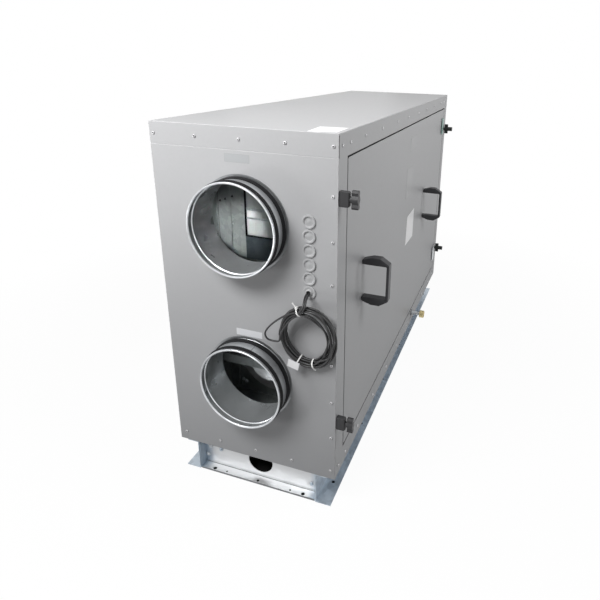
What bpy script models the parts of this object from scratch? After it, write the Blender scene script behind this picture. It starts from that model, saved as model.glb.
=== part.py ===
"""Compact air handling unit: an insulated steel case on a galvanised base frame,
with two duct spigots on each end, a lift-off door held by four hand knobs, and
the filters, fans and plate heat exchanger that show behind the door.

Metres, +Z up. The origin is on the floor under the middle of the case. The
control cable and the ducts are on the front end, towards -Y, and the door is
on the +X side.
"""
import math

import bmesh
import bpy
from mathutils import Euler, Matrix, Vector, geometry

# Case
CASE_WIDTH = 0.530
CASE_LENGTH = 1.645
CASE_HEIGHT = 1.010
BASE_HEIGHT = 0.105
WALL = 0.045
SHEET = 0.0015
SEAT = 0.0003
LID_FLANGE = 0.058
POST_WIDTH = 0.066
HEADER_HEIGHT = 0.062
SILL_HEIGHT = 0.066
REBATE_WIDTH = 0.016

# Door and what is on it
DOOR_GAP = 0.005
DOOR_THICKNESS = 0.030
DOOR_CORNER = 0.006
GASKET_THICKNESS = 0.006
GASKET_WIDTH = 0.012
HANDLE_REACH = 0.083
HANDLE_GRIP = 0.0085
HANDLE_HEIGHT = 0.151
HANDLE_FOOT_HEIGHT = 0.132
HANDLE_SHOULDER_REACH = 0.030
HANDLE_BELLY_REACH = 0.056
HANDLE_TIP_HEIGHT = 0.116
HANDLE_OPENING = 0.104
HANDLE_WIDTH = 0.028
HANDLE_ROUNDING = 0.0025
HANDLE_MID_HEIGHT = 0.5535
HANDLE_FRONT_FROM_END = 0.2225
HANDLE_REAR_FROM_FRONT = 1.141
KEEPER_UPPER_HEIGHT = 0.8605
KEEPER_LOWER_HEIGHT = 0.164
KEEPER_HEIGHT = 0.078
KEEPER_WIDTH = 0.040
KEEPER_THICKNESS = 0.003
KEEPER_STANDOFF = 0.003
KEEPER_PAD_WIDTH = 0.016
KEEPER_PAD_HEIGHT = 0.042
KEEPER_FROM_EDGE = 0.022

# Hand knobs on the door posts
CLAMP_UPPER_FRONT_HEIGHT = 0.8535
CLAMP_LOWER_FRONT_HEIGHT = 0.1985
CLAMP_UPPER_REAR_HEIGHT = 0.840
CLAMP_LOWER_REAR_HEIGHT = 0.175
CLAMP_FRONT_FROM_END = 0.011
CLAMP_REAR_FROM_END = 0.0405
CLAMP_BLOCK_DEPTH = 0.027
CLAMP_BLOCK_HEIGHT = 0.039
CLAMP_BLOCK_WIDTH = 0.016
CLAMP_BLOCK_CHAMFER = 0.003
KNOB_HUB_RADIUS = 0.010
KNOB_HUB_RISE = 0.0042
KNOB_WAIST_WIDTH = 0.0104
KNOB_WAIST_HEIGHT = 0.0105
KNOB_WING_WIDTH = 0.015
KNOB_WING_HEIGHT = 0.0185
KNOB_TIP_WIDTH = 0.008
KNOB_REACH = 0.0235
KNOB_DEPTH = 0.017
KNOB_NECK_LENGTH = 0.0045
KNOB_NECK_RADIUS = 0.0080
KNOB_CAP_LENGTH = 0.022
KNOB_CAP_RADIUS = 0.0105

# Duct spigots
SPIGOT_RADIUS = 0.125
SPIGOT_REACH = 0.066
SPIGOT_SHEET = 0.002
SPIGOT_BEAD = 0.003
SPIGOT_FLANGE_WIDTH = 0.009
SPIGOT_UPPER_HEIGHT = 0.758
SPIGOT_LOWER_HEIGHT = 0.291
SPIGOT_TAIL = 0.004
SEAL_SEAT_DEPTH = 0.0012
SEAL_WEB = 0.0006
SEAL_LIP = 0.0035
SEAL_LIP_WIDTH = 0.008
SEAL_WIDTH = 0.033
SEAL_FROM_RIM = 0.009

# Cable entries and the control cable
GROMMET_RADIUS = 0.0175
GROMMET_DEPTH = 0.004
GROMMET_EDGE = 0.0024
GROMMET_BEVEL = 0.003
GROMMET_RIM = 0.0065
GROMMET_SLOPE = 0.002
MEMBRANE_DEPTH = 0.002
GROMMET_FROM_SPIGOT = 0.0372
GROMMET_TOP_HEIGHT = 0.788
GROMMET_PITCH = 0.0386
GROMMET_COUNT = 6
GLAND_NOSE_RADIUS = 0.0095
GLAND_TIP_RADIUS = 0.007
GLAND_NOSE_LENGTH = 0.008
CABLE_DIAMETER = 0.005
STRAND_SPACING = 0.006
STRAND_EXIT_PULL = 0.042
UPPER_STRAND_PULL = 0.020
LOWER_STRAND_PULL = 0.030
STRAND_STEPS = 9
COIL_FROM_GROMMET = 0.0043
COIL_HEIGHT = 0.4748
COIL_MEAN_RADIUS = 0.0695
COIL_BUNDLE_RADIUS = 0.013
COIL_STRETCH = 1.22
COIL_LEAN = math.radians(7)
COIL_SIDES = 8
TIE_THICKNESS = 0.0012
TIE_WIDTH = 0.004
TIE_CLEARANCE = 0.0006
TIE_ANGLE = 102
LOWER_TIE_ANGLES = (282, 245)
STRAND_FORWARD = 0.0169
UPPER_STRAND_OUT = 0.0048
LOOP_LEAVING_PULL = 0.046
LOOP_LANDING_PULL = 0.026
LOOP_STEPS = 8
LOOP_KNOTS = (
    ((0.0155, -0.1170, -0.0010), (0, 0, -0.018)),
    ((0.0105, -0.0950, -0.0240), (0, 0.0145, 0)),
    ((0.0180, -0.0720, -0.0020), (0, 0.002, 0.0142)),
)
TAG_WIDTH = 0.034
TAG_HEIGHT = 0.027
TAG_THICKNESS = 0.001
TAG_TURN = math.radians(-15)
TAG_ACROSS = -0.041
TAG_UP = -0.088

# Drain
DRAIN_FROM_FRONT = 1.030
DRAIN_HEIGHT = 0.044
DRAIN_PIPE_RADIUS = 0.008
DRAIN_PIPE_LENGTH = 0.040
DRAIN_FLANGE_RADIUS = 0.015
DRAIN_FLANGE_DEPTH = 0.003
DRAIN_NUT_RADIUS = 0.017
DRAIN_NUT_LENGTH = 0.020
DRAIN_NUT_BORE = 0.012
DRAIN_NUT_DEPTH = 0.014

# Base frame
BASE_SHEET = 0.002
RAIL_INSET = 0.061
RAIL_FOOT_WIDTH = 0.048
RAIL_TOP_WIDTH = 0.036
RAIL_HOLE_RADIUS = 0.0055
RAIL_HOLE_FROM_END = 0.089
RAIL_HOLE_COUNT = 6
CROSS_SETBACK = 0.036
CROSS_LIP = 0.033
CROSS_HOLE_RADIUS = 0.042
CROSS_HOLE_HEIGHT = 0.0585
LIP_HOLES = ((0.156, 0.0060), (0.1125, 0.0032), (0, 0.0045))
LIP_HOLE_FROM_TIP = 0.0105
CUTTER_LENGTH = 0.02

# Inside the case
PARTITION_THICKNESS = 0.020
EXCHANGER_HALF_TOP = 0.060
EXCHANGER_CLEARANCE = 0.030
EXCHANGER_PLATE = 0.006
EXCHANGER_PITCH = 0.027
EXCHANGER_GROOVE = 0.004
PLENUM_WALL_FROM_END = 0.215
PLENUM_WALL_THICKNESS = 0.003
PLENUM_SIDE_BORDER = 0.050
PLENUM_EDGE_BORDER = 0.056
FILTER_DEPTH = 0.048
FILTER_PLEAT_DEPTH = 0.0265
FILTER_FRAME = 0.020
FILTER_PITCH = 0.026
FILTER_SETBACK = 0.012
FAN_PLATE_FROM_END = 0.240
FAN_PLATE_THICKNESS = 0.003
FAN_INLET_RADIUS = 0.090
FAN_WHEEL_RADIUS = 0.125
FAN_WHEEL_DEPTH = 0.080
FAN_DISC = 0.004
FAN_BLADES = 7
FAN_BLADE_THICKNESS = 0.003
FAN_BLADE_SWEEP = math.radians(48)
FAN_BLADE_STEPS = 6
FAN_BLADE_CLEARANCE = 0.002
FAN_HUB_RADIUS = 0.055
FAN_HUB_NOSE_RADIUS = 0.033
FAN_HUB_FROM_INLET = 0.020
FAN_MOTOR_LENGTH = 0.050
FAN_RUNNING_GAP = 0.006
FAN_STAY_RADIUS = 0.005
FAN_STAY_SIDE = 0.150
FAN_BRACKET_WIDTH = 0.030
FAN_BRACKET_THICKNESS = 0.005

# Worked out from the sizes above
CASE_HALF_WIDTH = CASE_WIDTH / 2
CASE_HALF_LENGTH = CASE_LENGTH / 2
CASE_BOTTOM = BASE_HEIGHT
CASE_TOP = CASE_BOTTOM + CASE_HEIGHT
FRONT = -CASE_HALF_LENGTH
REAR = CASE_HALF_LENGTH
INNER_SIDE = CASE_HALF_WIDTH - WALL
INNER_BOTTOM = CASE_BOTTOM + WALL
INNER_TOP = CASE_TOP - LID_FLANGE
INNER_FRONT = FRONT + WALL
INNER_REAR = REAR - WALL
MIDDLE_HEIGHT = (INNER_BOTTOM + INNER_TOP) / 2
DOOR_FRONT = FRONT + POST_WIDTH + DOOR_GAP
DOOR_REAR = REAR - POST_WIDTH - DOOR_GAP
DOOR_BOTTOM = CASE_BOTTOM + SILL_HEIGHT + DOOR_GAP
DOOR_TOP = CASE_TOP - HEADER_HEIGHT - DOOR_GAP
DOOR_INNER_SIDE = CASE_HALF_WIDTH - DOOR_THICKNESS
REBATE_SIDE = DOOR_INNER_SIDE - GASKET_THICKNESS - 2 * SEAT
RAIL_WEB_SIDE = CASE_HALF_WIDTH - RAIL_INSET
GROMMET_SIDE = SPIGOT_RADIUS + SPIGOT_FLANGE_WIDTH + GROMMET_FROM_SPIGOT + GROMMET_RADIUS
SPIGOT_HEIGHTS = {
    "upper": CASE_BOTTOM + SPIGOT_UPPER_HEIGHT,
    "lower": CASE_BOTTOM + SPIGOT_LOWER_HEIGHT,
}
EXCHANGER_HALF_HEIGHT = (INNER_TOP - INNER_BOTTOM) / 2 - SEAT
PLENUM_WALL_FACE = CASE_HALF_LENGTH - PLENUM_WALL_FROM_END
FILTER_FACE = PLENUM_WALL_FACE - PLENUM_WALL_THICKNESS - FILTER_SETBACK
EXCHANGER_TIP = FILTER_FACE - FILTER_DEPTH - EXCHANGER_CLEARANCE
ROUND_STEPS = 28
SMALL_STEPS = 16
UPRIGHT = (0, math.pi / 2, 0)
ALONG_Y = (0, 0, math.pi / 2)
MATERIALS = {}


def clear_scene():
    """Remove the objects that the scene starts with."""
    for item in list(bpy.data.objects):
        bpy.data.objects.remove(item, do_unlink=True)


def finish(name, colour, roughness, metallic=0.0):
    """Return a Principled material."""
    material = bpy.data.materials.new(name)
    material.use_nodes = True
    shader = material.node_tree.nodes["Principled BSDF"]
    shader.inputs["Base Color"].default_value = (*colour, 1.0)
    shader.inputs["Roughness"].default_value = roughness
    shader.inputs["Metallic"].default_value = metallic
    return material


def place(name, mesh, material, location=(0, 0, 0), rotation=(0, 0, 0), smooth=None):
    """Turn a bmesh into a named object at its place, and return it."""
    bmesh.ops.recalc_face_normals(mesh, faces=mesh.faces)
    if mesh.calc_volume(signed=True) < 0:
        bmesh.ops.reverse_faces(mesh, faces=mesh.faces)
    data = bpy.data.meshes.new(name)
    mesh.to_mesh(data)
    mesh.free()
    data.materials.append(material)
    if smooth is not None:
        data.shade_smooth()
        data.set_sharp_from_angle(angle=math.radians(smooth))
    item = bpy.data.objects.new(name, data)
    item.location = location
    item.rotation_euler = rotation
    bpy.context.scene.collection.objects.link(item)
    return item


def hold(child, parent):
    """Parent a placed object to an empty and keep it where it is."""
    child.parent = parent
    child.matrix_parent_inverse = parent.matrix_world.inverted()


def combine(target, other, operation):
    """Cut or join an object with another one, which stays as a hidden guide."""
    modifier = target.modifiers.new(operation.title(), "BOOLEAN")
    modifier.operation = operation
    modifier.solver = "EXACT"
    modifier.object = other
    other.hide_render = True
    other.display_type = "WIRE"


def cut(target, tools):
    """Cut each tool out of the target."""
    for tool in tools:
        combine(target, tool, "DIFFERENCE")


def join(target, tools):
    """Join each tool to the target as one solid."""
    for tool in tools:
        combine(target, tool, "UNION")


def block(x_span, y_span, z_span, centre=(0, 0, 0)):
    """Return a bmesh box between two planes on each axis, measured from centre."""
    mesh = bmesh.new()
    bmesh.ops.create_cube(mesh, size=1.0)
    spans = (x_span, y_span, z_span)
    size = Vector([high - low for low, high in spans])
    middle = Vector([(high + low) / 2 for low, high in spans]) - Vector(centre)
    bmesh.ops.scale(mesh, vec=size, verts=mesh.verts)
    bmesh.ops.translate(mesh, vec=middle, verts=mesh.verts)
    return mesh


def slab(name, x_span, y_span, z_span, material):
    """Place a box between two planes on each axis, with its origin in its middle."""
    centre = [(low + high) / 2 for low, high in (x_span, y_span, z_span)]
    return place(name, block(x_span, y_span, z_span, centre), material, centre)


def prism(outline, along):
    """Return a bmesh solid: a flat outline of points pushed along a vector."""
    mesh = bmesh.new()
    face = mesh.faces.new([mesh.verts.new(point) for point in outline])
    pushed = bmesh.ops.extrude_face_region(mesh, geom=[face])["geom"]
    moved = [item for item in pushed if isinstance(item, bmesh.types.BMVert)]
    bmesh.ops.translate(mesh, vec=along, verts=moved)
    return mesh


def turned(profile, steps=ROUND_STEPS, closed=True):
    """Return a bmesh solid: a profile of (radius, along) turned about the X axis."""
    mesh = bmesh.new()
    points = [mesh.verts.new((along, 0, radius)) for radius, along in profile]
    pairs = list(zip(points, points[1:]))
    if closed:
        pairs.append((points[-1], points[0]))
    edges = [mesh.edges.new(pair) for pair in pairs]
    bmesh.ops.spin(mesh, geom=points + edges, cent=(0, 0, 0), axis=(1, 0, 0),
                   angle=math.tau, steps=steps, use_merge=True, use_duplicate=False)
    bmesh.ops.remove_doubles(mesh, verts=mesh.verts, dist=1e-6)
    return mesh


def rod(radius, x_span, steps=SMALL_STEPS):
    """Return a bmesh cylinder about the X axis."""
    low, high = x_span
    profile = [(0, low), (radius, low), (radius, high), (0, high)]
    return turned(profile, steps, closed=False)


def drill(radius, location, rotation, length=CUTTER_LENGTH, steps=ROUND_STEPS):
    """Place a hidden round cutter about a point."""
    tool = rod(radius, (-length / 2, length / 2), steps)
    return place("drill", tool, MATERIALS["guide"], location, rotation)


def end_sign(end):
    """Return -1 at the front end and 1 at the rear end."""
    return -1 if end == "front" else 1


def base_rail(name, side):
    """Make one long rail: a C of folded sheet, open outwards, with fixing holes."""
    foot = RAIL_WEB_SIDE + RAIL_FOOT_WIDTH
    top = RAIL_WEB_SIDE + RAIL_TOP_WIDTH
    web = RAIL_WEB_SIDE - BASE_SHEET
    head = BASE_HEIGHT - SEAT
    outline = [
        (web, 0), (foot, 0), (foot, BASE_SHEET), (RAIL_WEB_SIDE, BASE_SHEET),
        (RAIL_WEB_SIDE, head - BASE_SHEET), (top, head - BASE_SHEET), (top, head), (web, head),
    ]
    points = [(side * x, FRONT, z) for x, z in outline]
    rail = place(name, prism(points, (0, CASE_LENGTH, 0)), MATERIALS["galvanised"])
    pitch = (CASE_LENGTH - 2 * RAIL_HOLE_FROM_END) / (RAIL_HOLE_COUNT - 1)
    middle = side * (RAIL_WEB_SIDE + foot) / 2
    for index in range(RAIL_HOLE_COUNT):
        y = FRONT + RAIL_HOLE_FROM_END + index * pitch
        cut(rail, [drill(RAIL_HOLE_RADIUS, (middle, y, 0), UPRIGHT, steps=SMALL_STEPS)])
    return rail


def base_crossmember(name, web, facing, holed):
    """Make one cross-member: web, foot lip and two end tabs against the rails."""
    half = RAIL_WEB_SIDE - BASE_SHEET - SEAT
    head = BASE_HEIGHT - SEAT
    inner = web - facing * BASE_SHEET
    tip = web + facing * CROSS_LIP
    low, high = sorted((inner, tip))
    member = slab(name, (-half, half), (low, high), (0, head), MATERIALS["galvanised"])
    hollow_low, hollow_high = sorted((web, web + facing * 2 * CROSS_LIP))
    hollow = slab(name + "_fold", (BASE_SHEET - half, half - BASE_SHEET),
                  (hollow_low, hollow_high), (BASE_SHEET, BASE_HEIGHT), MATERIALS["guide"])
    cut(member, [hollow])
    if holed:
        cut(member, [drill(CROSS_HOLE_RADIUS, (0, web, CROSS_HOLE_HEIGHT), ALONG_Y)])
        hole_line = tip - facing * LIP_HOLE_FROM_TIP
        for side, radius in LIP_HOLES:
            for x in sorted({-side, side}):
                cut(member, [drill(radius, (x, hole_line, 0), UPRIGHT, steps=SMALL_STEPS)])
    return member


def base_frame():
    """Make the two rails and the three cross-members between them."""
    base_rail("base_rail_left", -1)
    base_rail("base_rail_right", 1)
    base_crossmember("base_crossmember_front", FRONT + CROSS_SETBACK, -1, True)
    base_crossmember("base_crossmember_middle", -CROSS_LIP / 2, 1, False)
    base_crossmember("base_crossmember_rear", REAR - CROSS_SETBACK, 1, True)


def end_panel(name, end):
    """Make one end wall: an outer sheet over an insulated core, with two duct holes."""
    sign = end_sign(end)
    face = FRONT if end == "front" else REAR
    skin = sorted((face, face - sign * SHEET))
    core = sorted((face - sign * SHEET / 2, face - sign * WALL))
    panel = slab(name, (-CASE_HALF_WIDTH, CASE_HALF_WIDTH), skin,
                 (CASE_BOTTOM, INNER_TOP - SEAT), MATERIALS["housing"])
    body = slab(name + "_core", (SEAT - INNER_SIDE, INNER_SIDE - SEAT), core,
                (INNER_BOTTOM + SEAT, INNER_TOP - SEAT), MATERIALS["guide"])
    join(panel, [body])
    for height in SPIGOT_HEIGHTS.values():
        cut(panel, [drill(SPIGOT_RADIUS + SEAT, (0, face, height), ALONG_Y, 3 * WALL)])
    return panel


def lid():
    """Make the lid: one sheet folded down over both ends, with its core below."""
    reach = FRONT + SHEET
    outline = [
        (FRONT, INNER_TOP), (FRONT, CASE_TOP), (REAR, CASE_TOP), (REAR, INNER_TOP),
        (-reach, INNER_TOP), (-reach, CASE_TOP - SHEET), (reach, CASE_TOP - SHEET),
        (reach, INNER_TOP),
    ]
    points = [(-CASE_HALF_WIDTH, y, z) for y, z in outline]
    cover = place("lid", prism(points, (CASE_WIDTH, 0, 0)), MATERIALS["housing"])
    core = slab("lid_core", (SEAT - INNER_SIDE, INNER_SIDE - SEAT),
                (reach - SHEET / 2, SHEET / 2 - reach), (INNER_TOP, CASE_TOP - SHEET / 2),
                MATERIALS["guide"])
    join(cover, [core])
    return cover


def side_walls():
    """Make the closed left side and the floor."""
    low, high = FRONT + SHEET + SEAT, REAR - SHEET - SEAT
    housing = MATERIALS["housing"]
    slab("side_panel_left", (-CASE_HALF_WIDTH, -INNER_SIDE), (low, high),
         (CASE_BOTTOM, CASE_TOP - SHEET - SEAT), housing)
    slab("floor_panel", (SEAT - INNER_SIDE, INNER_SIDE - SEAT), (low, high),
         (CASE_BOTTOM, INNER_BOTTOM), housing)


def door_frame():
    """Make the frame round the door: posts, header and sill, with the rebate for the seal."""
    frame = slab("door_frame", (INNER_SIDE, CASE_HALF_WIDTH),
                 (FRONT + SHEET + SEAT, REAR - SHEET - SEAT),
                 (CASE_BOTTOM, CASE_TOP - SHEET - SEAT), MATERIALS["housing"])
    for inset, inner in ((0, REBATE_SIDE), (REBATE_WIDTH, INNER_SIDE - WALL)):
        opening = slab("door_opening", (inner, CASE_HALF_WIDTH + WALL),
                       (FRONT + POST_WIDTH + inset, REAR - POST_WIDTH - inset),
                       (CASE_BOTTOM + SILL_HEIGHT + inset, CASE_TOP - HEADER_HEIGHT - inset),
                       MATERIALS["guide"])
        cut(frame, [opening])
    return frame


def picture_frame(x_span, y_span, z_span, width):
    """Return a bmesh rectangular ring, open along X."""
    mesh = block(x_span, y_span, z_span)
    faces = [face for face in mesh.faces if abs(face.normal.x) > 0.5]
    bmesh.ops.inset_individual(mesh, faces=faces, thickness=width)
    bmesh.ops.bridge_loops(mesh, edges=[edge for face in faces for edge in face.edges])
    bmesh.ops.delete(mesh, geom=faces, context="FACES_ONLY")
    return mesh


def handle(name, y):
    """Make one bow handle: two flared feet and a grip with cut-off corners."""
    gap = HANDLE_OPENING / 2
    reach = HANDLE_REACH
    upper = [(0, HANDLE_FOOT_HEIGHT / 2), (HANDLE_SHOULDER_REACH, HANDLE_HEIGHT / 2),
             (HANDLE_BELLY_REACH, HANDLE_HEIGHT / 2), (reach, HANDLE_TIP_HEIGHT / 2)]
    inner = [(0, gap), (reach - HANDLE_GRIP, gap)]
    outline = upper + [(x, -z) for x, z in reversed(upper)]
    outline += [(x, -z) for x, z in inner] + list(reversed(inner))
    points = [(x, -HANDLE_WIDTH / 2, z) for x, z in outline]
    location = (CASE_HALF_WIDTH + SEAT, y, CASE_BOTTOM + HANDLE_MID_HEIGHT)
    grip = place(name, prism(points, (0, HANDLE_WIDTH, 0)), MATERIALS["plastic"], location)
    bevel = grip.modifiers.new("Rounded", "BEVEL")
    bevel.width = HANDLE_ROUNDING
    bevel.segments = 2
    bevel.limit_method = "ANGLE"
    bevel.angle_limit = math.radians(40)
    return grip


def door():
    """Make the lift-off door with its seal, handles and keeper plates."""
    mover = bpy.data.objects.new("door_travel", None)
    mover.location = (CASE_HALF_WIDTH, 0, (DOOR_BOTTOM + DOOR_TOP) / 2)
    bpy.context.scene.collection.objects.link(mover)
    bpy.context.view_layer.update()
    leaf_mesh = block((DOOR_INNER_SIDE, CASE_HALF_WIDTH), (DOOR_FRONT, DOOR_REAR),
                      (DOOR_BOTTOM, DOOR_TOP), mover.location)
    corners = [edge for edge in leaf_mesh.edges
               if abs(edge.verts[0].co.x - edge.verts[1].co.x) > DOOR_THICKNESS / 2]
    bmesh.ops.bevel(leaf_mesh, geom=corners, offset=DOOR_CORNER, segments=1,
                    profile=0.5, affect="EDGES", material=-1)
    leaf = place("inspection_door", leaf_mesh, MATERIALS["housing"], mover.location)
    seal = place("door_gasket", picture_frame(
        (DOOR_INNER_SIDE - SEAT - GASKET_THICKNESS, DOOR_INNER_SIDE - SEAT),
        (DOOR_FRONT, DOOR_REAR), (DOOR_BOTTOM, DOOR_TOP), GASKET_WIDTH),
        MATERIALS["rubber"])
    pieces = [
        leaf, seal,
        handle("door_handle_front", FRONT + HANDLE_FRONT_FROM_END),
        handle("door_handle_rear", FRONT + HANDLE_REAR_FROM_FRONT),
        keeper("door_keeper_upper", KEEPER_UPPER_HEIGHT),
        keeper("door_keeper_lower", KEEPER_LOWER_HEIGHT),
    ]
    for piece in pieces:
        hold(piece, mover)


def keeper(name, height):
    """Make one keeper plate near the door's rear edge, on a pad that stands it off."""
    edge = DOOR_REAR - KEEPER_FROM_EDGE
    surface = CASE_HALF_WIDTH + SEAT
    z = CASE_BOTTOM + height
    plate = slab(name, (surface + KEEPER_STANDOFF, surface + KEEPER_STANDOFF + KEEPER_THICKNESS),
                 (edge - KEEPER_WIDTH, edge), (z - KEEPER_HEIGHT / 2, z + KEEPER_HEIGHT / 2),
                 MATERIALS["galvanised"])
    middle = edge - KEEPER_WIDTH / 2
    pad = slab(name + "_pad", (surface, surface + KEEPER_STANDOFF + KEEPER_THICKNESS / 2),
               (middle - KEEPER_PAD_WIDTH / 2, middle + KEEPER_PAD_WIDTH / 2),
               (z - KEEPER_PAD_HEIGHT / 2, z + KEEPER_PAD_HEIGHT / 2), MATERIALS["guide"])
    join(plate, [pad])
    return plate


def knob_outline():
    """Return the outline of a hand knob as (y, z) points: a hub with a wing above and below."""
    hub_side = math.sqrt(KNOB_HUB_RADIUS ** 2 - KNOB_HUB_RISE ** 2)
    quarter = [(KNOB_HUB_RADIUS, 0), (hub_side, KNOB_HUB_RISE),
               (KNOB_WAIST_WIDTH / 2, KNOB_WAIST_HEIGHT),
               (KNOB_WING_WIDTH / 2, KNOB_WING_HEIGHT), (KNOB_TIP_WIDTH / 2, KNOB_REACH)]
    upper = quarter + [(-y, z) for y, z in reversed(quarter)]
    return upper + [(y, -z) for y, z in reversed(upper[1:-1])]


def knob(name, y, z, base_depth, capped):
    """Make one hand knob on its axis: neck, winged head and, where shown, an end cap."""
    start = CASE_HALF_WIDTH + SEAT + base_depth + SEAT
    outline = [(KNOB_NECK_LENGTH, across, up) for across, up in knob_outline()]
    mesh = prism(outline, (KNOB_DEPTH, 0, 0))
    head = place(name, mesh, MATERIALS["plastic"], (start, y, z), smooth=40)
    neck_mesh = rod(KNOB_NECK_RADIUS, (0, KNOB_NECK_LENGTH + KNOB_DEPTH / 2))
    neck = place(name + "_neck", neck_mesh, MATERIALS["guide"], (start, y, z))
    join(head, [neck])
    if capped:
        far = KNOB_NECK_LENGTH + KNOB_DEPTH
        cap_mesh = rod(KNOB_CAP_RADIUS, (far - KNOB_DEPTH / 2, far + KNOB_CAP_LENGTH))
        cap = place(name + "_cap", cap_mesh, MATERIALS["guide"], (start, y, z))
        join(head, [cap])
    return head


def clamps():
    """Make the four hand knobs and what each one sits on."""
    surface = CASE_HALF_WIDTH + SEAT
    y = FRONT + CLAMP_FRONT_FROM_END
    for level, height, rear_height in (
            ("upper", CLAMP_UPPER_FRONT_HEIGHT, CLAMP_UPPER_REAR_HEIGHT),
            ("lower", CLAMP_LOWER_FRONT_HEIGHT, CLAMP_LOWER_REAR_HEIGHT)):
        z = CASE_BOTTOM + height
        base = block((0, CLAMP_BLOCK_DEPTH), (-CLAMP_BLOCK_WIDTH / 2, CLAMP_BLOCK_WIDTH / 2),
                     (-CLAMP_BLOCK_HEIGHT / 2, CLAMP_BLOCK_HEIGHT / 2))
        far = [edge for edge in base.edges
               if min(vert.co.x for vert in edge.verts) > CLAMP_BLOCK_DEPTH / 2]
        bmesh.ops.bevel(base, geom=far, offset=CLAMP_BLOCK_CHAMFER, segments=1,
                        profile=0.5, affect="EDGES", material=-1)
        place(f"clamp_base_{level}_front", base, MATERIALS["plastic"], (surface, y, z))
        knob(f"clamp_knob_{level}_front", y, z, CLAMP_BLOCK_DEPTH, False)
        knob(f"clamp_knob_{level}_rear", REAR - CLAMP_REAR_FROM_END, CASE_BOTTOM + rear_height,
             0, True)


def spigot_profile():
    """Return the wall of a spigot as (radius, along), along growing out of the case."""
    outer = SPIGOT_RADIUS
    inner = outer - SPIGOT_SHEET
    seat = outer - SEAL_SEAT_DEPTH
    reach = SPIGOT_REACH
    flange = outer + SPIGOT_FLANGE_WIDTH
    profile = [(inner, -WALL - SPIGOT_TAIL), (outer, -WALL - SPIGOT_TAIL), (outer, SEAT),
               (flange, SEAT), (flange, SEAT + SHEET), (outer, SEAT + SHEET)]
    low = reach - SEAL_FROM_RIM - SEAL_WIDTH
    high = reach - SEAL_FROM_RIM
    profile += [(outer, low), (seat, low), (seat, high), (outer, high)]
    bead_start = reach - 2 * SPIGOT_BEAD
    profile += [(outer, bead_start), (outer + SPIGOT_BEAD / 2, bead_start + SPIGOT_BEAD / 2),
                (outer + SPIGOT_BEAD / 2, reach - SPIGOT_BEAD / 2), (outer, reach), (inner, reach)]
    return profile


def seal_profile():
    """Return the double lip seal in its seat as (radius, along)."""
    root = SPIGOT_RADIUS - SEAL_SEAT_DEPTH + SEAT
    web = root + SEAL_WEB
    tip = SPIGOT_RADIUS + SEAL_LIP
    high = SPIGOT_REACH - SEAL_FROM_RIM - SEAT
    low = high - SEAL_WIDTH + 2 * SEAT
    inner = low + SEAL_LIP_WIDTH
    outer = high - SEAL_LIP_WIDTH
    return [(root, low), (tip, low + SEAT), (tip, low + SEAL_LIP_WIDTH / 2), (web, inner),
            (web, outer), (tip, high - SEAL_LIP_WIDTH / 2), (tip, high - SEAT), (root, high)]


def spigots(end):
    """Make both spigots of one end, and the lip seals round them."""
    face = FRONT if end == "front" else REAR
    turn = (0, 0, end_sign(end) * math.pi / 2)
    for level, height in SPIGOT_HEIGHTS.items():
        spot = (0, face, height)
        place(f"duct_spigot_{level}_{end}", turned(spigot_profile()),
              MATERIALS["galvanised"], spot, turn, smooth=30)
        place(f"spigot_seal_{level}_{end}", turned(seal_profile()),
              MATERIALS["rubber"], spot, turn, smooth=30)


def grommet_height(index):
    """Return the height of a cable entry, counted from the top."""
    return CASE_BOTTOM + GROMMET_TOP_HEIGHT - index * GROMMET_PITCH


def cable_entries():
    """Make the column of closed grommets and the gland that the cable leaves by."""
    out = (0, 0, -math.pi / 2)
    rim = GROMMET_RADIUS
    collar = [(0, SEAT), (rim, SEAT), (rim, GROMMET_EDGE), (rim - GROMMET_BEVEL, GROMMET_DEPTH)]
    closed = collar + [(rim - GROMMET_RIM, GROMMET_DEPTH),
                       (rim - GROMMET_RIM - GROMMET_SLOPE, MEMBRANE_DEPTH), (0, MEMBRANE_DEPTH)]
    for index in range(GROMMET_COUNT - 1):
        spot = (GROMMET_SIDE, FRONT, grommet_height(index))
        place(f"blank_grommet_{index + 1}", turned(closed, SMALL_STEPS, closed=False),
              MATERIALS["grommet"], spot, out, smooth=30)
    nose = collar + [(GLAND_NOSE_RADIUS, GROMMET_DEPTH), (GLAND_TIP_RADIUS, GLAND_NOSE_LENGTH),
                     (0, GLAND_NOSE_LENGTH)]
    gland = turned(nose, SMALL_STEPS, closed=False)
    place("cable_grommet", gland, MATERIALS["grommet"],
          (GROMMET_SIDE, FRONT, grommet_height(GROMMET_COUNT - 1)), out, smooth=30)


def coil_frame():
    """Return the coil's centre and rotation: it leans on the front panel with its lower edge."""
    lower_edge = COIL_MEAN_RADIUS * COIL_STRETCH * math.sin(COIL_LEAN)
    centre = Vector((GROMMET_SIDE + COIL_FROM_GROMMET,
                     FRONT - 2 * SEAT - TIE_THICKNESS - COIL_BUNDLE_RADIUS - lower_edge,
                     CASE_BOTTOM + COIL_HEIGHT))
    return centre, Euler((0, COIL_LEAN, -math.pi / 2))


def coil_point(degrees, out=0.0, forward=0.0):
    """Return a point beside the coil's middle line, in the coil's own (forward, across, up)."""
    angle = math.radians(degrees)
    run = coil_run(degrees)
    return Vector((forward, COIL_MEAN_RADIUS * math.cos(angle) + out * run.z,
                   COIL_MEAN_RADIUS * COIL_STRETCH * math.sin(angle) - out * run.y))


def coil_run(degrees):
    """Return the direction in which the coil's middle line runs at an angle."""
    angle = math.radians(degrees)
    return Vector((0, -math.sin(angle), COIL_STRETCH * math.cos(angle))).normalized()


def from_coil(point):
    """Return the place in the scene of a point given in the coil's own axes."""
    centre, rotation = coil_frame()
    return centre + rotation.to_matrix() @ point


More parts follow.
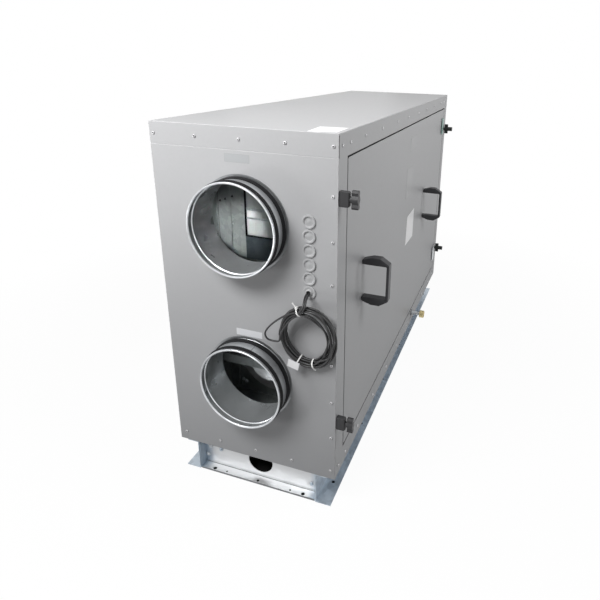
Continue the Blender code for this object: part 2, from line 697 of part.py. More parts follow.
def bend_through(knots, steps):
    """Return points on a smooth curve through knots, each a (place, pull) pair of vectors."""
    points = []
    for (start, leave), (end, arrive) in zip(knots, knots[1:]):
        span = geometry.interpolate_bezier(start, start + leave, end - arrive, end, steps + 1)
        points += span[:-1]
    return points + [knots[-1][0]]


def cable_tube(name, points):
    """Make a length of cable along a list of points."""
    curve = bpy.data.curves.new(name, "CURVE")
    curve.dimensions = "3D"
    curve.bevel_depth = CABLE_DIAMETER / 2
    curve.bevel_resolution = 2
    curve.use_fill_caps = True
    spline = curve.splines.new("POLY")
    spline.points.add(len(points) - 1)
    for point, spot in zip(spline.points, points):
        point.co = (*spot, 1.0)
    curve.materials.append(MATERIALS["cable"])
    cable = bpy.data.objects.new(name, curve)
    bpy.context.scene.collection.objects.link(cable)
    return cable


def strand_from_gland(name, side, out, pull):
    """Make one strand that hangs from the gland to the coil's upper tie."""
    exit_spot = Vector((GROMMET_SIDE + side, FRONT - GLAND_NOSE_LENGTH - SEAT,
                        grommet_height(GROMMET_COUNT - 1)))
    landing = TIE_ANGLE - math.degrees((TIE_WIDTH / 2 + TIE_CLEARANCE) / COIL_MEAN_RADIUS)
    _, rotation = coil_frame()
    arrive = rotation.to_matrix() @ coil_run(landing) * pull
    return cable_tube(name, bend_through([
        (exit_spot, Vector((0, -STRAND_EXIT_PULL, 0))),
        (from_coil(coil_point(landing, out, STRAND_FORWARD)), arrive),
    ], STRAND_STEPS))


def loose_loop():
    """Make the loop that stands out of the coil, where the doubled cable turns back."""
    leaving = TIE_ANGLE + math.degrees((TIE_WIDTH / 2 + TIE_CLEARANCE) / COIL_MEAN_RADIUS)
    run = coil_run(leaving)
    lower_out = UPPER_STRAND_OUT - STRAND_SPACING
    knots = [(coil_point(leaving, UPPER_STRAND_OUT, STRAND_FORWARD), run * LOOP_LEAVING_PULL)]
    knots += [(Vector(spot), Vector(pull)) for spot, pull in LOOP_KNOTS]
    knots += [(coil_point(leaving, lower_out, STRAND_FORWARD), run * -LOOP_LANDING_PULL)]
    points = bend_through(knots, LOOP_STEPS)
    return cable_tube("cable_loop", [from_coil(point) for point in points])


def cable_coil():
    """Make the coil's own solid, round in section, with its three ties."""
    bundle = []
    for index in range(COIL_SIDES):
        angle = math.tau * (index + 0.5) / COIL_SIDES
        bundle.append((COIL_MEAN_RADIUS + COIL_BUNDLE_RADIUS * math.cos(angle),
                       COIL_BUNDLE_RADIUS * math.sin(angle)))
    ring = turned(bundle)
    bmesh.ops.scale(ring, vec=(1, 1, COIL_STRETCH), verts=ring.verts)
    centre, rotation = coil_frame()
    coil = place("cable_coil", ring, MATERIALS["cable"], centre, rotation, smooth=40)
    over_strands = STRAND_FORWARD - COIL_BUNDLE_RADIUS + CABLE_DIAMETER / 2
    join(coil, [coil_tie(TIE_ANGLE, over_strands / 2)])
    join(coil, [coil_tie(degrees, 0) for degrees in LOWER_TIE_ANGLES])
    return coil


def coil_tie(degrees, grow):
    """Return one tie round the coil, grown forward where it also holds the strands."""
    tie = rod(COIL_BUNDLE_RADIUS + grow + TIE_THICKNESS, (-TIE_WIDTH / 2, TIE_WIDTH / 2))
    turn = coil_run(degrees).to_track_quat("X", "Z").to_matrix().to_4x4()
    spot = Matrix.Translation(coil_point(degrees, 0, grow))
    bmesh.ops.transform(tie, matrix=spot @ turn, verts=tie.verts)
    centre, rotation = coil_frame()
    return place("cable_tie", tie, MATERIALS["guide"], centre, rotation)


def blank_tag():
    """Make the blank tag, turned a little, that lies on the lowest tie."""
    back = COIL_BUNDLE_RADIUS + TIE_THICKNESS + SEAT
    centre, rotation = coil_frame()
    points = []
    for side, end in ((-1, 1), (-1, -1), (1, -1), (1, 1)):
        corner = Vector((side * TAG_WIDTH / 2, end * TAG_HEIGHT / 2))
        corner.rotate(Matrix.Rotation(TAG_TURN, 2))
        points.append((back, TAG_ACROSS + corner.x, TAG_UP + corner.y))
    return place("cable_tag", prism(points, (TAG_THICKNESS, 0, 0)), MATERIALS["label"],
                 centre, rotation)


def control_cable():
    """Make the doubled cable: two strands from the gland, the coil, its loose loop and tag."""
    half = STRAND_SPACING / 2
    lower_out = UPPER_STRAND_OUT - STRAND_SPACING
    strand_from_gland("control_cable", -half, UPPER_STRAND_OUT, UPPER_STRAND_PULL)
    strand_from_gland("control_cable_return", half, lower_out, LOWER_STRAND_PULL)
    cable_coil()
    loose_loop()
    blank_tag()


def drain():
    """Make the drain pipe that comes out of the sill, and the nut on its end."""
    spot = (CASE_HALF_WIDTH, FRONT + DRAIN_FROM_FRONT, CASE_BOTTOM + DRAIN_HEIGHT)
    pipe_end = SEAT + DRAIN_PIPE_LENGTH
    flange_end = SEAT + DRAIN_FLANGE_DEPTH
    nut_end = pipe_end + DRAIN_NUT_LENGTH
    profile = [
        (0, SEAT), (DRAIN_FLANGE_RADIUS, SEAT), (DRAIN_FLANGE_RADIUS, flange_end),
        (DRAIN_PIPE_RADIUS, flange_end), (DRAIN_PIPE_RADIUS, pipe_end),
        (DRAIN_NUT_RADIUS, pipe_end), (DRAIN_NUT_RADIUS, nut_end), (DRAIN_NUT_BORE, nut_end),
        (DRAIN_NUT_BORE, nut_end - DRAIN_NUT_DEPTH), (0, nut_end - DRAIN_NUT_DEPTH),
    ]
    place("drain_outlet", turned(profile, SMALL_STEPS, closed=False), MATERIALS["brass"],
          spot, smooth=40)


def exchanger():
    """Make the plate heat exchanger: a hexagonal stack of plates across the case."""
    half = EXCHANGER_HALF_HEIGHT
    top = EXCHANGER_HALF_TOP
    corners = [(-EXCHANGER_TIP, 0), (-top, half), (top, half), (EXCHANGER_TIP, 0),
               (top, -half), (-top, -half)]
    low = SEAT - INNER_SIDE
    width = -2 * low
    count = int((width - EXCHANGER_PLATE) // EXCHANGER_PITCH)
    pitch = (width - EXCHANGER_PLATE) / count
    shrink = 1 - EXCHANGER_GROOVE / half
    stations = []
    for index in range(count + 1):
        start = low + index * pitch
        stations += [(start, 1.0), (start + EXCHANGER_PLATE, 1.0)]
        if index < count:
            stations += [(start + EXCHANGER_PLATE, shrink), (start + pitch, shrink)]
    mesh = bmesh.new()
    rings = [[mesh.verts.new((x, y * factor, z * factor)) for y, z in corners]
             for x, factor in stations]
    mesh.faces.new(rings[0])
    mesh.faces.new(rings[-1])
    for ring, following in zip(rings, rings[1:]):
        for index in range(len(corners)):
            mesh.faces.new((ring[index - 1], ring[index], following[index], following[index - 1]))
    place("heat_exchanger", mesh, MATERIALS["aluminium"], (0, 0, MIDDLE_HEIGHT))


def partitions():
    """Make the shelf that parts the two air paths on each side of the exchanger."""
    side = (SEAT - INNER_SIDE, INNER_SIDE - SEAT)
    half = PARTITION_THICKNESS / 2
    shelf = (MIDDLE_HEIGHT - half, MIDDLE_HEIGHT + half)
    reach = EXCHANGER_TIP + SEAT
    slab("partition_front", side, (INNER_FRONT + SEAT, -reach), shelf, MATERIALS["galvanised"])
    slab("partition_rear", side, (reach, INNER_REAR - SEAT), shelf, MATERIALS["galvanised"])


def chamber(level):
    """Return the height span of the upper or lower air path beside the shelf."""
    half = PARTITION_THICKNESS / 2
    if level == "upper":
        return MIDDLE_HEIGHT + half + SEAT, INNER_TOP - SEAT
    return INNER_BOTTOM + SEAT, MIDDLE_HEIGHT - half - SEAT


def filter_unit(end, level):
    """Make a plenum wall with its opening, and the pleated filter behind it."""
    sign = end_sign(end)
    low, high = chamber(level)
    wall_face = sign * PLENUM_WALL_FACE
    wall_span = sorted((wall_face, wall_face - sign * PLENUM_WALL_THICKNESS))
    side = INNER_SIDE - SEAT
    wall = slab(f"plenum_wall_{end}", (-side, side), wall_span, (low, high), MATERIALS["galvanised"])
    opening_side = side - PLENUM_SIDE_BORDER
    opening = slab("plenum_opening", (-opening_side, opening_side),
                   (wall_span[0] - WALL, wall_span[1] + WALL),
                   (low + PLENUM_EDGE_BORDER, high - PLENUM_EDGE_BORDER), MATERIALS["guide"])
    cut(wall, [opening])
    start = sign * FILTER_FACE
    pleats = int(2 * (side - FILTER_FRAME) // FILTER_PITCH)
    pitch = 2 * (side - FILTER_FRAME) / pleats
    front = [(-side, 0), (FILTER_FRAME - side, 0)]
    for index in range(pleats):
        left = FILTER_FRAME - side + index * pitch
        front.append((left + pitch / 2, FILTER_PLEAT_DEPTH))
        front.append((left + pitch, 0))
    front.append((side, 0))
    outline = front + [(side, FILTER_DEPTH), (-side, FILTER_DEPTH)]
    points = [(x, start - sign * depth, low) for x, depth in outline]
    place(f"filter_{end}", prism(points, (0, 0, high - low)), MATERIALS["filter"])


def blade(index):
    """Return one backward-curved fan blade as a bmesh, swept from hub to rim."""
    start = FAN_HUB_RADIUS + FAN_BLADE_CLEARANCE
    span = FAN_WHEEL_RADIUS - FAN_BLADE_CLEARANCE - start
    turn = math.tau * index / FAN_BLADES
    middle = []
    for step in range(FAN_BLADE_STEPS + 1):
        share = step / FAN_BLADE_STEPS
        radius = start + span * share
        angle = turn - FAN_BLADE_SWEEP * share * math.sqrt(share)
        middle.append(Vector((0, radius * math.cos(angle), radius * math.sin(angle))))
    half = FAN_BLADE_THICKNESS / 2
    outline = []
    back = []
    for step, point in enumerate(middle):
        before = middle[max(step - 1, 0)]
        after = middle[min(step + 1, FAN_BLADE_STEPS)]
        across = (after - before).cross(Vector((1, 0, 0))).normalized() * half
        outline.append(point + across)
        back.append(point - across)
    return prism(outline + list(reversed(back)), (FAN_WHEEL_DEPTH - FAN_DISC, 0, 0))


def fan_wheel(name, spot, turn):
    """Make a fan's wheel with the motor behind it: inlet ring, curved blades and hub."""
    start = FAN_RUNNING_GAP
    end = start + FAN_WHEEL_DEPTH
    back = end - FAN_DISC
    motor_end = end + FAN_MOTOR_LENGTH
    nose = start + FAN_HUB_FROM_INLET
    hub = [(0, nose), (FAN_HUB_NOSE_RADIUS, nose), (FAN_HUB_RADIUS, back),
           (FAN_WHEEL_RADIUS, back), (FAN_WHEEL_RADIUS, end), (FAN_HUB_RADIUS, end),
           (FAN_HUB_RADIUS, motor_end), (0, motor_end)]
    wheel = place(name, turned(hub, closed=False), MATERIALS["aluminium"], spot, turn)
    ring = [(FAN_INLET_RADIUS, start), (FAN_WHEEL_RADIUS, start),
            (FAN_WHEEL_RADIUS, start + FAN_DISC), (FAN_INLET_RADIUS, start + FAN_DISC)]
    parts = [place(name + "_ring", turned(ring), MATERIALS["guide"], spot, turn)]
    for index in range(FAN_BLADES):
        vane = blade(index)
        bmesh.ops.translate(vane, vec=(start + FAN_DISC / 2, 0, 0), verts=vane.verts)
        parts.append(place(name + "_blade", vane, MATERIALS["guide"], spot, turn))
    join(wheel, parts)
    return wheel


def fan_mount(name, half_height, spot, turn):
    """Make a fan's mounting plate with its inlet, and the bracket that carries the motor."""
    side = INNER_SIDE - SEAT
    plate = block((-FAN_PLATE_THICKNESS, 0), (-side, side), (-half_height, half_height))
    mount = place(name, plate, MATERIALS["galvanised"], spot, turn)
    cut(mount, [drill(FAN_INLET_RADIUS, spot, turn)])
    seat = FAN_RUNNING_GAP + FAN_WHEEL_DEPTH + FAN_MOTOR_LENGTH + SEAT
    half = FAN_BRACKET_WIDTH / 2
    reach = FAN_STAY_SIDE + half
    bracket = block((seat, seat + FAN_BRACKET_THICKNESS), (-reach, reach), (-half, half))
    parts = [place(name + "_bracket", bracket, MATERIALS["guide"], spot, turn)]
    for across in (-FAN_STAY_SIDE, FAN_STAY_SIDE):
        stay = rod(FAN_STAY_RADIUS, (-FAN_PLATE_THICKNESS / 2, seat + FAN_BRACKET_THICKNESS / 2))
        bmesh.ops.translate(stay, vec=(0, across, 0), verts=stay.verts)
        parts.append(place(name + "_stay", stay, MATERIALS["guide"], spot, turn))
    join(mount, parts)
    return mount


def fan_unit(end, level):
    """Make one fan: its mount on the air path's walls, and its wheel."""
    sign = end_sign(end)
    low, high = chamber(level)
    spot = (0, sign * (CASE_HALF_LENGTH - FAN_PLATE_FROM_END), (low + high) / 2)
    turn = (0, 0, sign * math.pi / 2)
    fan_mount(f"fan_mount_{level}_{end}", (high - low) / 2, spot, turn)
    fan_wheel(f"fan_wheel_{level}_{end}", spot, turn)


def make_materials():
    """Fill the table of finishes."""
    MATERIALS["housing"] = finish("housing", (0.56, 0.56, 0.57), 0.35, 0.6)
    MATERIALS["galvanised"] = finish("galvanised", (0.62, 0.64, 0.67), 0.35, 0.9)
    MATERIALS["aluminium"] = finish("aluminium", (0.75, 0.76, 0.77), 0.3, 1.0)
    MATERIALS["plastic"] = finish("plastic", (0.045, 0.045, 0.048), 0.45)
    MATERIALS["rubber"] = finish("rubber", (0.012, 0.012, 0.013), 0.6)
    MATERIALS["cable"] = finish("cable", (0.015, 0.015, 0.016), 0.5)
    MATERIALS["grommet"] = finish("grommet", (0.42, 0.42, 0.43), 0.5)
    MATERIALS["label"] = finish("label", (0.85, 0.85, 0.85), 0.5)
    MATERIALS["brass"] = finish("brass", (0.62, 0.52, 0.28), 0.3, 1.0)
    MATERIALS["filter"] = finish("filter", (0.80, 0.80, 0.76), 0.9)
    MATERIALS["guide"] = finish("guide", (0.5, 0.5, 0.5), 0.5)


def main():
    """Build the whole unit."""
    clear_scene()
    make_materials()
    base_frame()
    end_panel("front_end_panel", "front")
    end_panel("rear_end_panel", "rear")
    side_walls()
    lid()
    door_frame()
    door()
    clamps()
    spigots("front")
    spigots("rear")
    cable_entries()
    control_cable()
    drain()
    partitions()
    exchanger()
    filter_unit("front", "upper")
    filter_unit("rear", "lower")
    fan_unit("front", "lower")
    fan_unit("rear", "upper")


main()
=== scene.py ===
"""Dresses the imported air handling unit: folded sheet, fasteners, ducts, cable, lights and finishes.

Metres, +Z up, the front end towards -Y and the door towards +X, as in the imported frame.
"""
from __future__ import annotations

import logging
import math
from dataclasses import dataclass
from enum import Enum
from typing import Callable, Iterable, Sequence

import bmesh
import bpy
from mathutils import Euler, Matrix, Vector, geometry

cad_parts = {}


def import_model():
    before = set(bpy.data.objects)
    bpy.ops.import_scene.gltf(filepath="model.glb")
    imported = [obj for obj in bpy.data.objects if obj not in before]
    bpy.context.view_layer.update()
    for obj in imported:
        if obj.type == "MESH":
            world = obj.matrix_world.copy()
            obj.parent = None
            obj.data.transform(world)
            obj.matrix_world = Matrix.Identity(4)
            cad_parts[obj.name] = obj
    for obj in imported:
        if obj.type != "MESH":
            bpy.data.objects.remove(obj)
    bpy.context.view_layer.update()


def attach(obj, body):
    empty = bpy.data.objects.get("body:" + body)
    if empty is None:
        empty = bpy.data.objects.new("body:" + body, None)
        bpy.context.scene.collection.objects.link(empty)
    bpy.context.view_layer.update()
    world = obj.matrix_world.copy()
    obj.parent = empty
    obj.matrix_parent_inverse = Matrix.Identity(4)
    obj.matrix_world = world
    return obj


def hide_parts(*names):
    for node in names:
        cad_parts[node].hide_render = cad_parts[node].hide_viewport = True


Pair = tuple[float, float]
Triple = tuple[float, float, float]

LOG = logging.getLogger("air_handling_unit")

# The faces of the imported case.
HALF_WIDTH = 0.265
FRONT = -0.8225
REAR = 0.8225
BOTTOM = 0.105
TOP = 1.115
FLANGE_BOTTOM = 1.057
INNER_SIDE = 0.220

# Distances, angles and directions that several pieces share.
SEAT = 0.0003
MERGE = 0.00002
SHARP = math.radians(32)
CREASE = math.radians(28)
LEVEL = math.radians(1)
TIGHT_EDGE = 0.0004
SHEET_EDGE = 0.0006
SOFT_EDGE = 0.0008
MOULDED_EDGE = 0.0012
RIGHT = (1.0, 0.0, 0.0)
BACK = (0.0, 1.0, 0.0)
UP = (0.0, 0.0, 1.0)
AHEAD = (0.0, -1.0, 0.0)
ENDS = (("front", -1), ("rear", 1))


class Body(Enum):
    """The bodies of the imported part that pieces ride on; a hand knob's goes by its name."""

    CASE = "case"
    DOOR = "door"


class Slot(Enum):
    """The record's material slots."""

    HOUSING = "housing"
    GALVANISED = "galvanised"
    ALUMINIUM = "aluminium"
    PLASTIC = "plastic"
    RUBBER = "rubber"
    CABLE = "cable"
    GROMMET = "grommet"
    LABEL = "label"
    BRASS = "brass"
    FILTER = "filter"


class Signal:
    """A shader value that Python expressions work on, each operator adding its Math node."""

    def __init__(self, shader: Shader, socket: bpy.types.NodeSocket) -> None:
        """Keep the shader being written and the socket that carries the value."""
        self.shader = shader
        self.socket = socket

    def _math(self, operation: str, *operands: Signal | float) -> Signal:
        """Return the result of one Math node on the operands."""
        return self.shader.node("ShaderNodeMath", {"operation": operation}, dict(enumerate(operands)))

    def __add__(self, other: Signal | float) -> Signal:
        """Return the sum."""
        return self._math("ADD", self, other)

    __radd__ = __add__

    def __sub__(self, other: Signal | float) -> Signal:
        """Return the difference."""
        return self._math("SUBTRACT", self, other)

    def __rsub__(self, other: float) -> Signal:
        """Return a number less this value."""
        return self._math("SUBTRACT", other, self)

    def __mul__(self, other: Signal | float) -> Signal:
        """Return the product."""
        return self._math("MULTIPLY", self, other)

    __rmul__ = __mul__

    def __abs__(self) -> Signal:
        """Return the size without its sign."""
        return self._math("ABSOLUTE", self)

    def larger(self, other: Signal | float) -> Signal:
        """Return the larger of two values."""
        return self._math("MAXIMUM", self, other)

    def ramp(self, low: float, high: float) -> Signal:
        """Return 0 below low and 1 above high, straight between them."""
        return self.shader.node("ShaderNodeMapRange", {"clamp": True},
                                {"Value": self, "From Min": low, "From Max": high})


class Shader:
    """One material's nodes, written from its Principled shader."""

    def __init__(self, owner: bpy.types.Material | bpy.types.World,
                 surface: str = "Principled BSDF") -> None:
        """Start from the owner's own tree.

        Args:
            owner: the material or the world.
            surface: the name of its surface node.
        """
        owner.use_nodes = True
        self.tree = owner.node_tree
        self.surface = self.tree.nodes[surface]

    def node(self, kind: str, settings: dict, sockets: dict, output: str | int = 0) -> Signal:
        """Add a node.

        Args:
            kind: the node's type.
            settings: its properties, set first.
            sockets: values or signals for its inputs, by name, identifier or index.
            output: the output to return.

        Returns:
            The output as a signal.
        """
        made = self.tree.nodes.new(kind)
        for name, value in settings.items():
            setattr(made, name, value)
        for key, value in sockets.items():
            self.feed(self.find(made.inputs, key), value)
        return Signal(self, self.find(made.outputs, output))

    @staticmethod
    def find(sockets: bpy.types.bpy_prop_collection, key: str | int) -> bpy.types.NodeSocket:
        """Find a socket.

        Args:
            sockets: a node's inputs or outputs.
            key: the socket's index, identifier or name.

        Returns:
            The socket.
        """
        if isinstance(key, int):
            return sockets[key]
        return next(one for one in sockets if key in (one.identifier, one.name))

    def feed(self, socket: bpy.types.NodeSocket, value: Signal | float | Sequence[float]) -> None:
        """Link a signal to a socket, or set the socket's own value.

        Args:
            socket: the input.
            value: a signal, a number, a vector, or a colour without its alpha.
        """
        if isinstance(value, Signal):
            self.tree.links.new(value.socket, socket)
        elif socket.type == "RGBA":
            socket.default_value = (*value, 1.0)
        else:
            socket.default_value = value

    def set(self, **inputs: Signal | float | Triple) -> None:
        """Feed the surface node's inputs, spaces written as underscores."""
        for name, value in inputs.items():
            self.feed(self.surface.inputs[name.replace("_", " ")], value)

    def place(self, stretch: Triple = (1, 1, 1), turn: Triple = (0, 0, 0)) -> Signal:
        """Return the object coordinates, stretched and turned for a pattern."""
        point = self.node("ShaderNodeTexCoord", {}, {}, "Object")
        return self.node("ShaderNodeMapping", {}, {"Vector": point, "Scale": stretch, "Rotation": turn})

    def noise(self, place: Signal, scale: float, detail: float = 2.0, rough: float = 0.5) -> Signal:
        """Return a smooth random value from 0 to 1."""
        return self.node("ShaderNodeTexNoise", {}, {"Vector": place, "Scale": scale,
                                                    "Detail": detail, "Roughness": rough})

    def cells(self, place: Signal, scale: float) -> Signal:
        """Return a cell pattern's colours, the tones of a zinc coat's flowers."""
        return self.node("ShaderNodeTexVoronoi", {}, {"Vector": place, "Scale": scale}, "Color")

    def axis(self, place: Signal, name: str) -> Signal:
        """Return one coordinate of a place or one channel of a pattern's colour."""
        return self.node("ShaderNodeSeparateXYZ", {}, {"Vector": place}, name)

    def blend(self, share: Signal | float, first: Signal | Triple, second: Signal | Triple) -> Signal:
        """Return a colour between two colours."""
        return self.node("ShaderNodeMix", {"data_type": "RGBA"},
                         {"Factor_Float": share, "A_Color": first, "B_Color": second}, "Result_Color")

    def relief(self, height: Signal, depth: float, strength: float) -> Signal:
        """Return a normal bent by a height, depth being the height of a full step in metres."""
        return self.node("ShaderNodeBump", {}, {"Height": height, "Distance": depth,
                                                "Strength": strength}, "Normal")


def shaded(colour: Triple, share: float) -> Triple:
    """Return a colour made lighter or darker by a share."""
    return tuple(min(1.0, part * share) for part in colour)


@dataclass(frozen=True)
class Finish:
    """A surface that pieces are given, one material for each title."""

    title: str
    colour: Triple
    roughness: float
    metallic: float = 0.0

    def material(self) -> bpy.types.Material:
        """Write this finish's material the first time it is asked for.

        Returns:
            The material.
        """
        found = bpy.data.materials.get(self.title)
        if found is None:
            found = bpy.data.materials.new(self.title)
            shader = Shader(found)
            shader.set(Base_Color=self.colour, Roughness=self.roughness, Metallic=self.metallic)
            self.compose(shader)
        return found

    def compose(self, shader: Shader) -> None:
        """Write the finish's own pattern over its plain values."""
        raise NotImplementedError


@dataclass(frozen=True)
class CoatedSheet(Finish):
    """Zinc-aluminium sheet with a satin baked coat, darker towards the bottom with painted shade and dusty
    at its foot.
    """

    # the grey that the painted shade and the dust turn the coat to
    shade_and_dust: Triple = (0.24, 0.245, 0.255)
    painted_shade_share: float = 0.62
    dust_share: float = 0.08
    dust_height: float = 0.16
    gloss: float = 0.32

    def compose(self, shader: Shader) -> None:
        """Write broad tone, a faint flower under the coat, fine peel, painted shade towards the bottom and
        light dust.

        Args:
            shader: the material's nodes.
        """
        place = shader.place()
        tone = shader.noise(place, 2.6, 3.0)
        flower = shader.axis(shader.cells(place, 150.0), "X")
        peel = shader.noise(place, 520.0)
        speck = shader.noise(place, 1900.0, 1.0)
        height = shader.axis(place, "Z")
        dust = (1.0 - height.ramp(BOTTOM, BOTTOM + self.dust_height)) * shader.noise(place, 14.0, 4.0)
        # painted shade: the coat darkens towards the bottom, added to the real dust at its foot
        shade_and_dust = (1.0 - height.ramp(BOTTOM, TOP)) * self.painted_shade_share + dust * self.dust_share
        colour = shader.blend(tone, shaded(self.colour, 0.98), shaded(self.colour, 1.03))
        colour = shader.blend(flower * 0.06, colour, shaded(self.colour, 0.72))
        colour = shader.blend(speck.ramp(0.35, 0.65) * 0.05, colour, shaded(self.colour, 0.80))
        shader.set(Base_Color=shader.blend(shade_and_dust, colour, self.shade_and_dust), Specular_IOR_Level=self.gloss,
                   Roughness=self.roughness - 0.05 + tone * 0.08 + flower * 0.03 + dust * 0.08,
                   Normal=shader.relief(peel * 0.7 + speck * 0.3, 0.00012, 0.30))


@dataclass(frozen=True)
class ZincCoat(Finish):
    """Hot-dipped steel with its flowered spangle.

    The spangle is the number of flowers in a metre, and the contrast how far their tones differ. Where
    ends is given, the coat is bluer from that distance off the middle, as on the front cross-member.
    """

    spangle: float = 70.0
    contrast: float = 1.0
    ends: float = 0.0
    end_fade: float = 0.03
    end_share: float = 0.75
    end_tint: Triple = (0.30, 0.40, 0.50)

    def compose(self, shader: Shader) -> None:
        """Write crystal flowers of slightly different tone, gloss and slope.

        Args:
            shader: the material's nodes.
        """
        place = shader.place()
        drift = shader.node("ShaderNodeTexNoise", {}, {"Vector": place, "Scale": 30.0}, "Color")
        shift = shader.node("ShaderNodeVectorMath", {"operation": "SCALE"}, {0: drift, "Scale": 0.012})
        warped = shader.node("ShaderNodeVectorMath", {"operation": "ADD"}, {0: place, 1: shift})
        tone = shader.axis(shader.cells(warped, self.spangle), "X")
        fine = shader.noise(place, 700.0)
        stain = shader.noise(place, 9.0, 4.0)
        low, high = 1.0 - 0.20 * self.contrast, 1.0 + 0.14 * self.contrast
        colour = shader.blend(tone * 0.75 + fine * 0.25, shaded(self.colour, low),
                              shaded(self.colour, high))
        colour = shader.blend(stain.ramp(0.45, 0.8) * 0.35 * self.contrast, colour,
                              shaded(self.colour, 0.68))
        if self.ends:
            end = abs(shader.axis(place, "X")).ramp(self.ends - self.end_fade, self.ends)
            colour = shader.blend(end * self.end_share, colour, self.end_tint)
        shader.set(Base_Color=colour, Roughness=self.roughness - 0.08 + tone * 0.12 + stain * 0.06,
                   Normal=shader.relief(tone + fine * 0.3, 0.00022, 0.22 * self.contrast))


@dataclass(frozen=True)
class RolledSteel(Finish):
    """Bright rolled sheet, with fine lines round the duct's axis.

    The painted collar shade, from 0 to 1, is painted shade and painted reflection of the seals and the
    case on a duct collar by its seals: near the case it ends over the span near, and between the seals
    it starts over the span between and fades over the span fade.
    """

    painted_collar_shade: float = 0.0
    near: Pair = (0.005, 0.007)
    between: Pair = (0.018, 0.019)
    fade: Pair = (0.020, 0.042)

    def compose(self, shader: Shader) -> None:
        """Write lines that run round the Y axis, soft handling marks and a faint flower.

        Args:
            shader: the material's nodes.
        """
        lines = shader.noise(shader.place((3.0, 900.0, 3.0)), 1.0, 3.0)
        marks = shader.noise(shader.place((16.0, 40.0, 16.0)), 1.0, 4.0)
        flower = shader.axis(shader.cells(shader.place(), 95.0), "X")
        colour = shader.blend(marks.ramp(0.32, 0.68), shaded(self.colour, 1.12), shaded(self.colour, 0.66))
        colour = shader.blend(flower * 0.18, colour, shaded(self.colour, 0.6))
        # painted shade and painted reflection on the collar, by place along its axis
        if self.painted_collar_shade:
            along = abs(shader.axis(shader.place(), "Y"))
            near, between, fade = (along.ramp(REAR + start, REAR + end)
                                   for start, end in (self.near, self.between, self.fade))
            film = ((1.0 - near) + between * (1.0 - fade)) * self.painted_collar_shade
            colour = shader.blend(film, colour, shaded(self.colour, 0.12))
        shader.set(Base_Color=colour, Roughness=self.roughness - 0.05 + marks * 0.14 + flower * 0.04,
                   Normal=shader.relief(lines + flower * 0.4, 0.0002, 0.30))


@dataclass(frozen=True)
class Moulded(Finish):
    """Moulded plastic or rubber with a fine spark-eroded grain.

    Where foot is given, the colour, a painted shade, lightens to that grey from the top of the rise to its
    bottom.
    """

    grain: float = 1300.0
    gloss: float = 0.30
    foot: float = 0.0
    rise: Pair = (0.10, 0.90)

    def compose(self, shader: Shader) -> None:
        """Write the mould's grain and slightly rubbed spots.

        Args:
            shader: the material's nodes.
        """
        place = shader.place()
        grain = shader.noise(place, self.grain)
        rubbed = shader.noise(place, 28.0, 3.0)
        colour = shader.blend(rubbed.ramp(0.4, 0.8) * 0.4, self.colour, shaded(self.colour, 1.35))
        # painted shade that lightens towards the bottom
        if self.foot:
            height = shader.axis(place, "Z").ramp(*self.rise)
            colour = shader.blend(1.0 - height, colour, (self.foot,) * 3)
        shader.set(Base_Color=colour, Roughness=self.roughness + 0.06 - rubbed * 0.12,
                   Specular_IOR_Level=self.gloss, Normal=shader.relief(grain, 0.0001, 0.5))


@dataclass(frozen=True)
class Sheath(Finish):
    """Cable sheath, smooth and a little scuffed."""

    def compose(self, shader: Shader) -> None:
        """Write slow tone along the cable and fine scuffs.

        Args:
            shader: the material's nodes.
        """
        place = shader.place()
        scuff = shader.noise(place, 160.0, 4.0)
        tone = shader.noise(place, 20.0)
        colour = shader.blend(scuff.ramp(0.5, 0.8) * 0.5, self.colour, shaded(self.colour, 2.0))
        shader.set(Base_Color=colour, Roughness=self.roughness - 0.06 + tone * 0.14,
                   Normal=shader.relief(scuff, 0.0001, 0.25))


@dataclass(frozen=True)
class Film(Finish):
    """Blank label stock: a smooth film with faint waviness."""

    def compose(self, shader: Shader) -> None:
        """Write faint mottling and the glue's waviness.

        Args:
            shader: the material's nodes.
        """
        place = shader.place()
        wave = shader.noise(place, 60.0)
        fibre = shader.noise(place, 1500.0)
        colour = shader.blend(fibre * 0.06 + wave * 0.04, self.colour, shaded(self.colour, 0.7))
        shader.set(Base_Color=colour, Roughness=self.roughness - 0.05 + wave * 0.1,
                   Normal=shader.relief(wave, 0.0006, 0.25))


@dataclass(frozen=True)
class Fleece(Finish):
    """Pleated filter medium: matted fibres, a little grey where air enters."""

    def compose(self, shader: Shader) -> None:
        """Write fibres in two directions and a soft cloud of dust.

        Args:
            shader: the material's nodes.
        """
        across = shader.noise(shader.place((900.0, 900.0, 160.0)), 1.0, 4.0, 0.7)
        along = shader.noise(shader.place((180.0, 900.0, 900.0), (0, 0.5, 0)), 1.0, 4.0, 0.7)
        fibres = across + along
        dust = shader.noise(shader.place(), 26.0, 4.0)
        colour = shader.blend(dust.ramp(0.35, 0.75) * 0.35, self.colour, shaded(self.colour, 0.72))
        colour = shader.blend(fibres.ramp(0.8, 1.3) * 0.25, colour, shaded(self.colour, 0.6))
        shader.set(Base_Color=colour, Normal=shader.relief(fibres, 0.0006, 0.6))


COAT = CoatedSheet("coated_sheet", (0.470, 0.472, 0.480), 0.46)
# painted highlight: a lighter coat for the folds, where light catches them
COAT_FOLD_HIGHLIGHT = CoatedSheet("coat_painted_fold_highlight", (0.66, 0.66, 0.67), 0.40)
# painted shade for slits, folds and openings that lie in shade
GAP_SHADE = Moulded("painted_gap_shade", (0.030, 0.030, 0.032), 0.7)
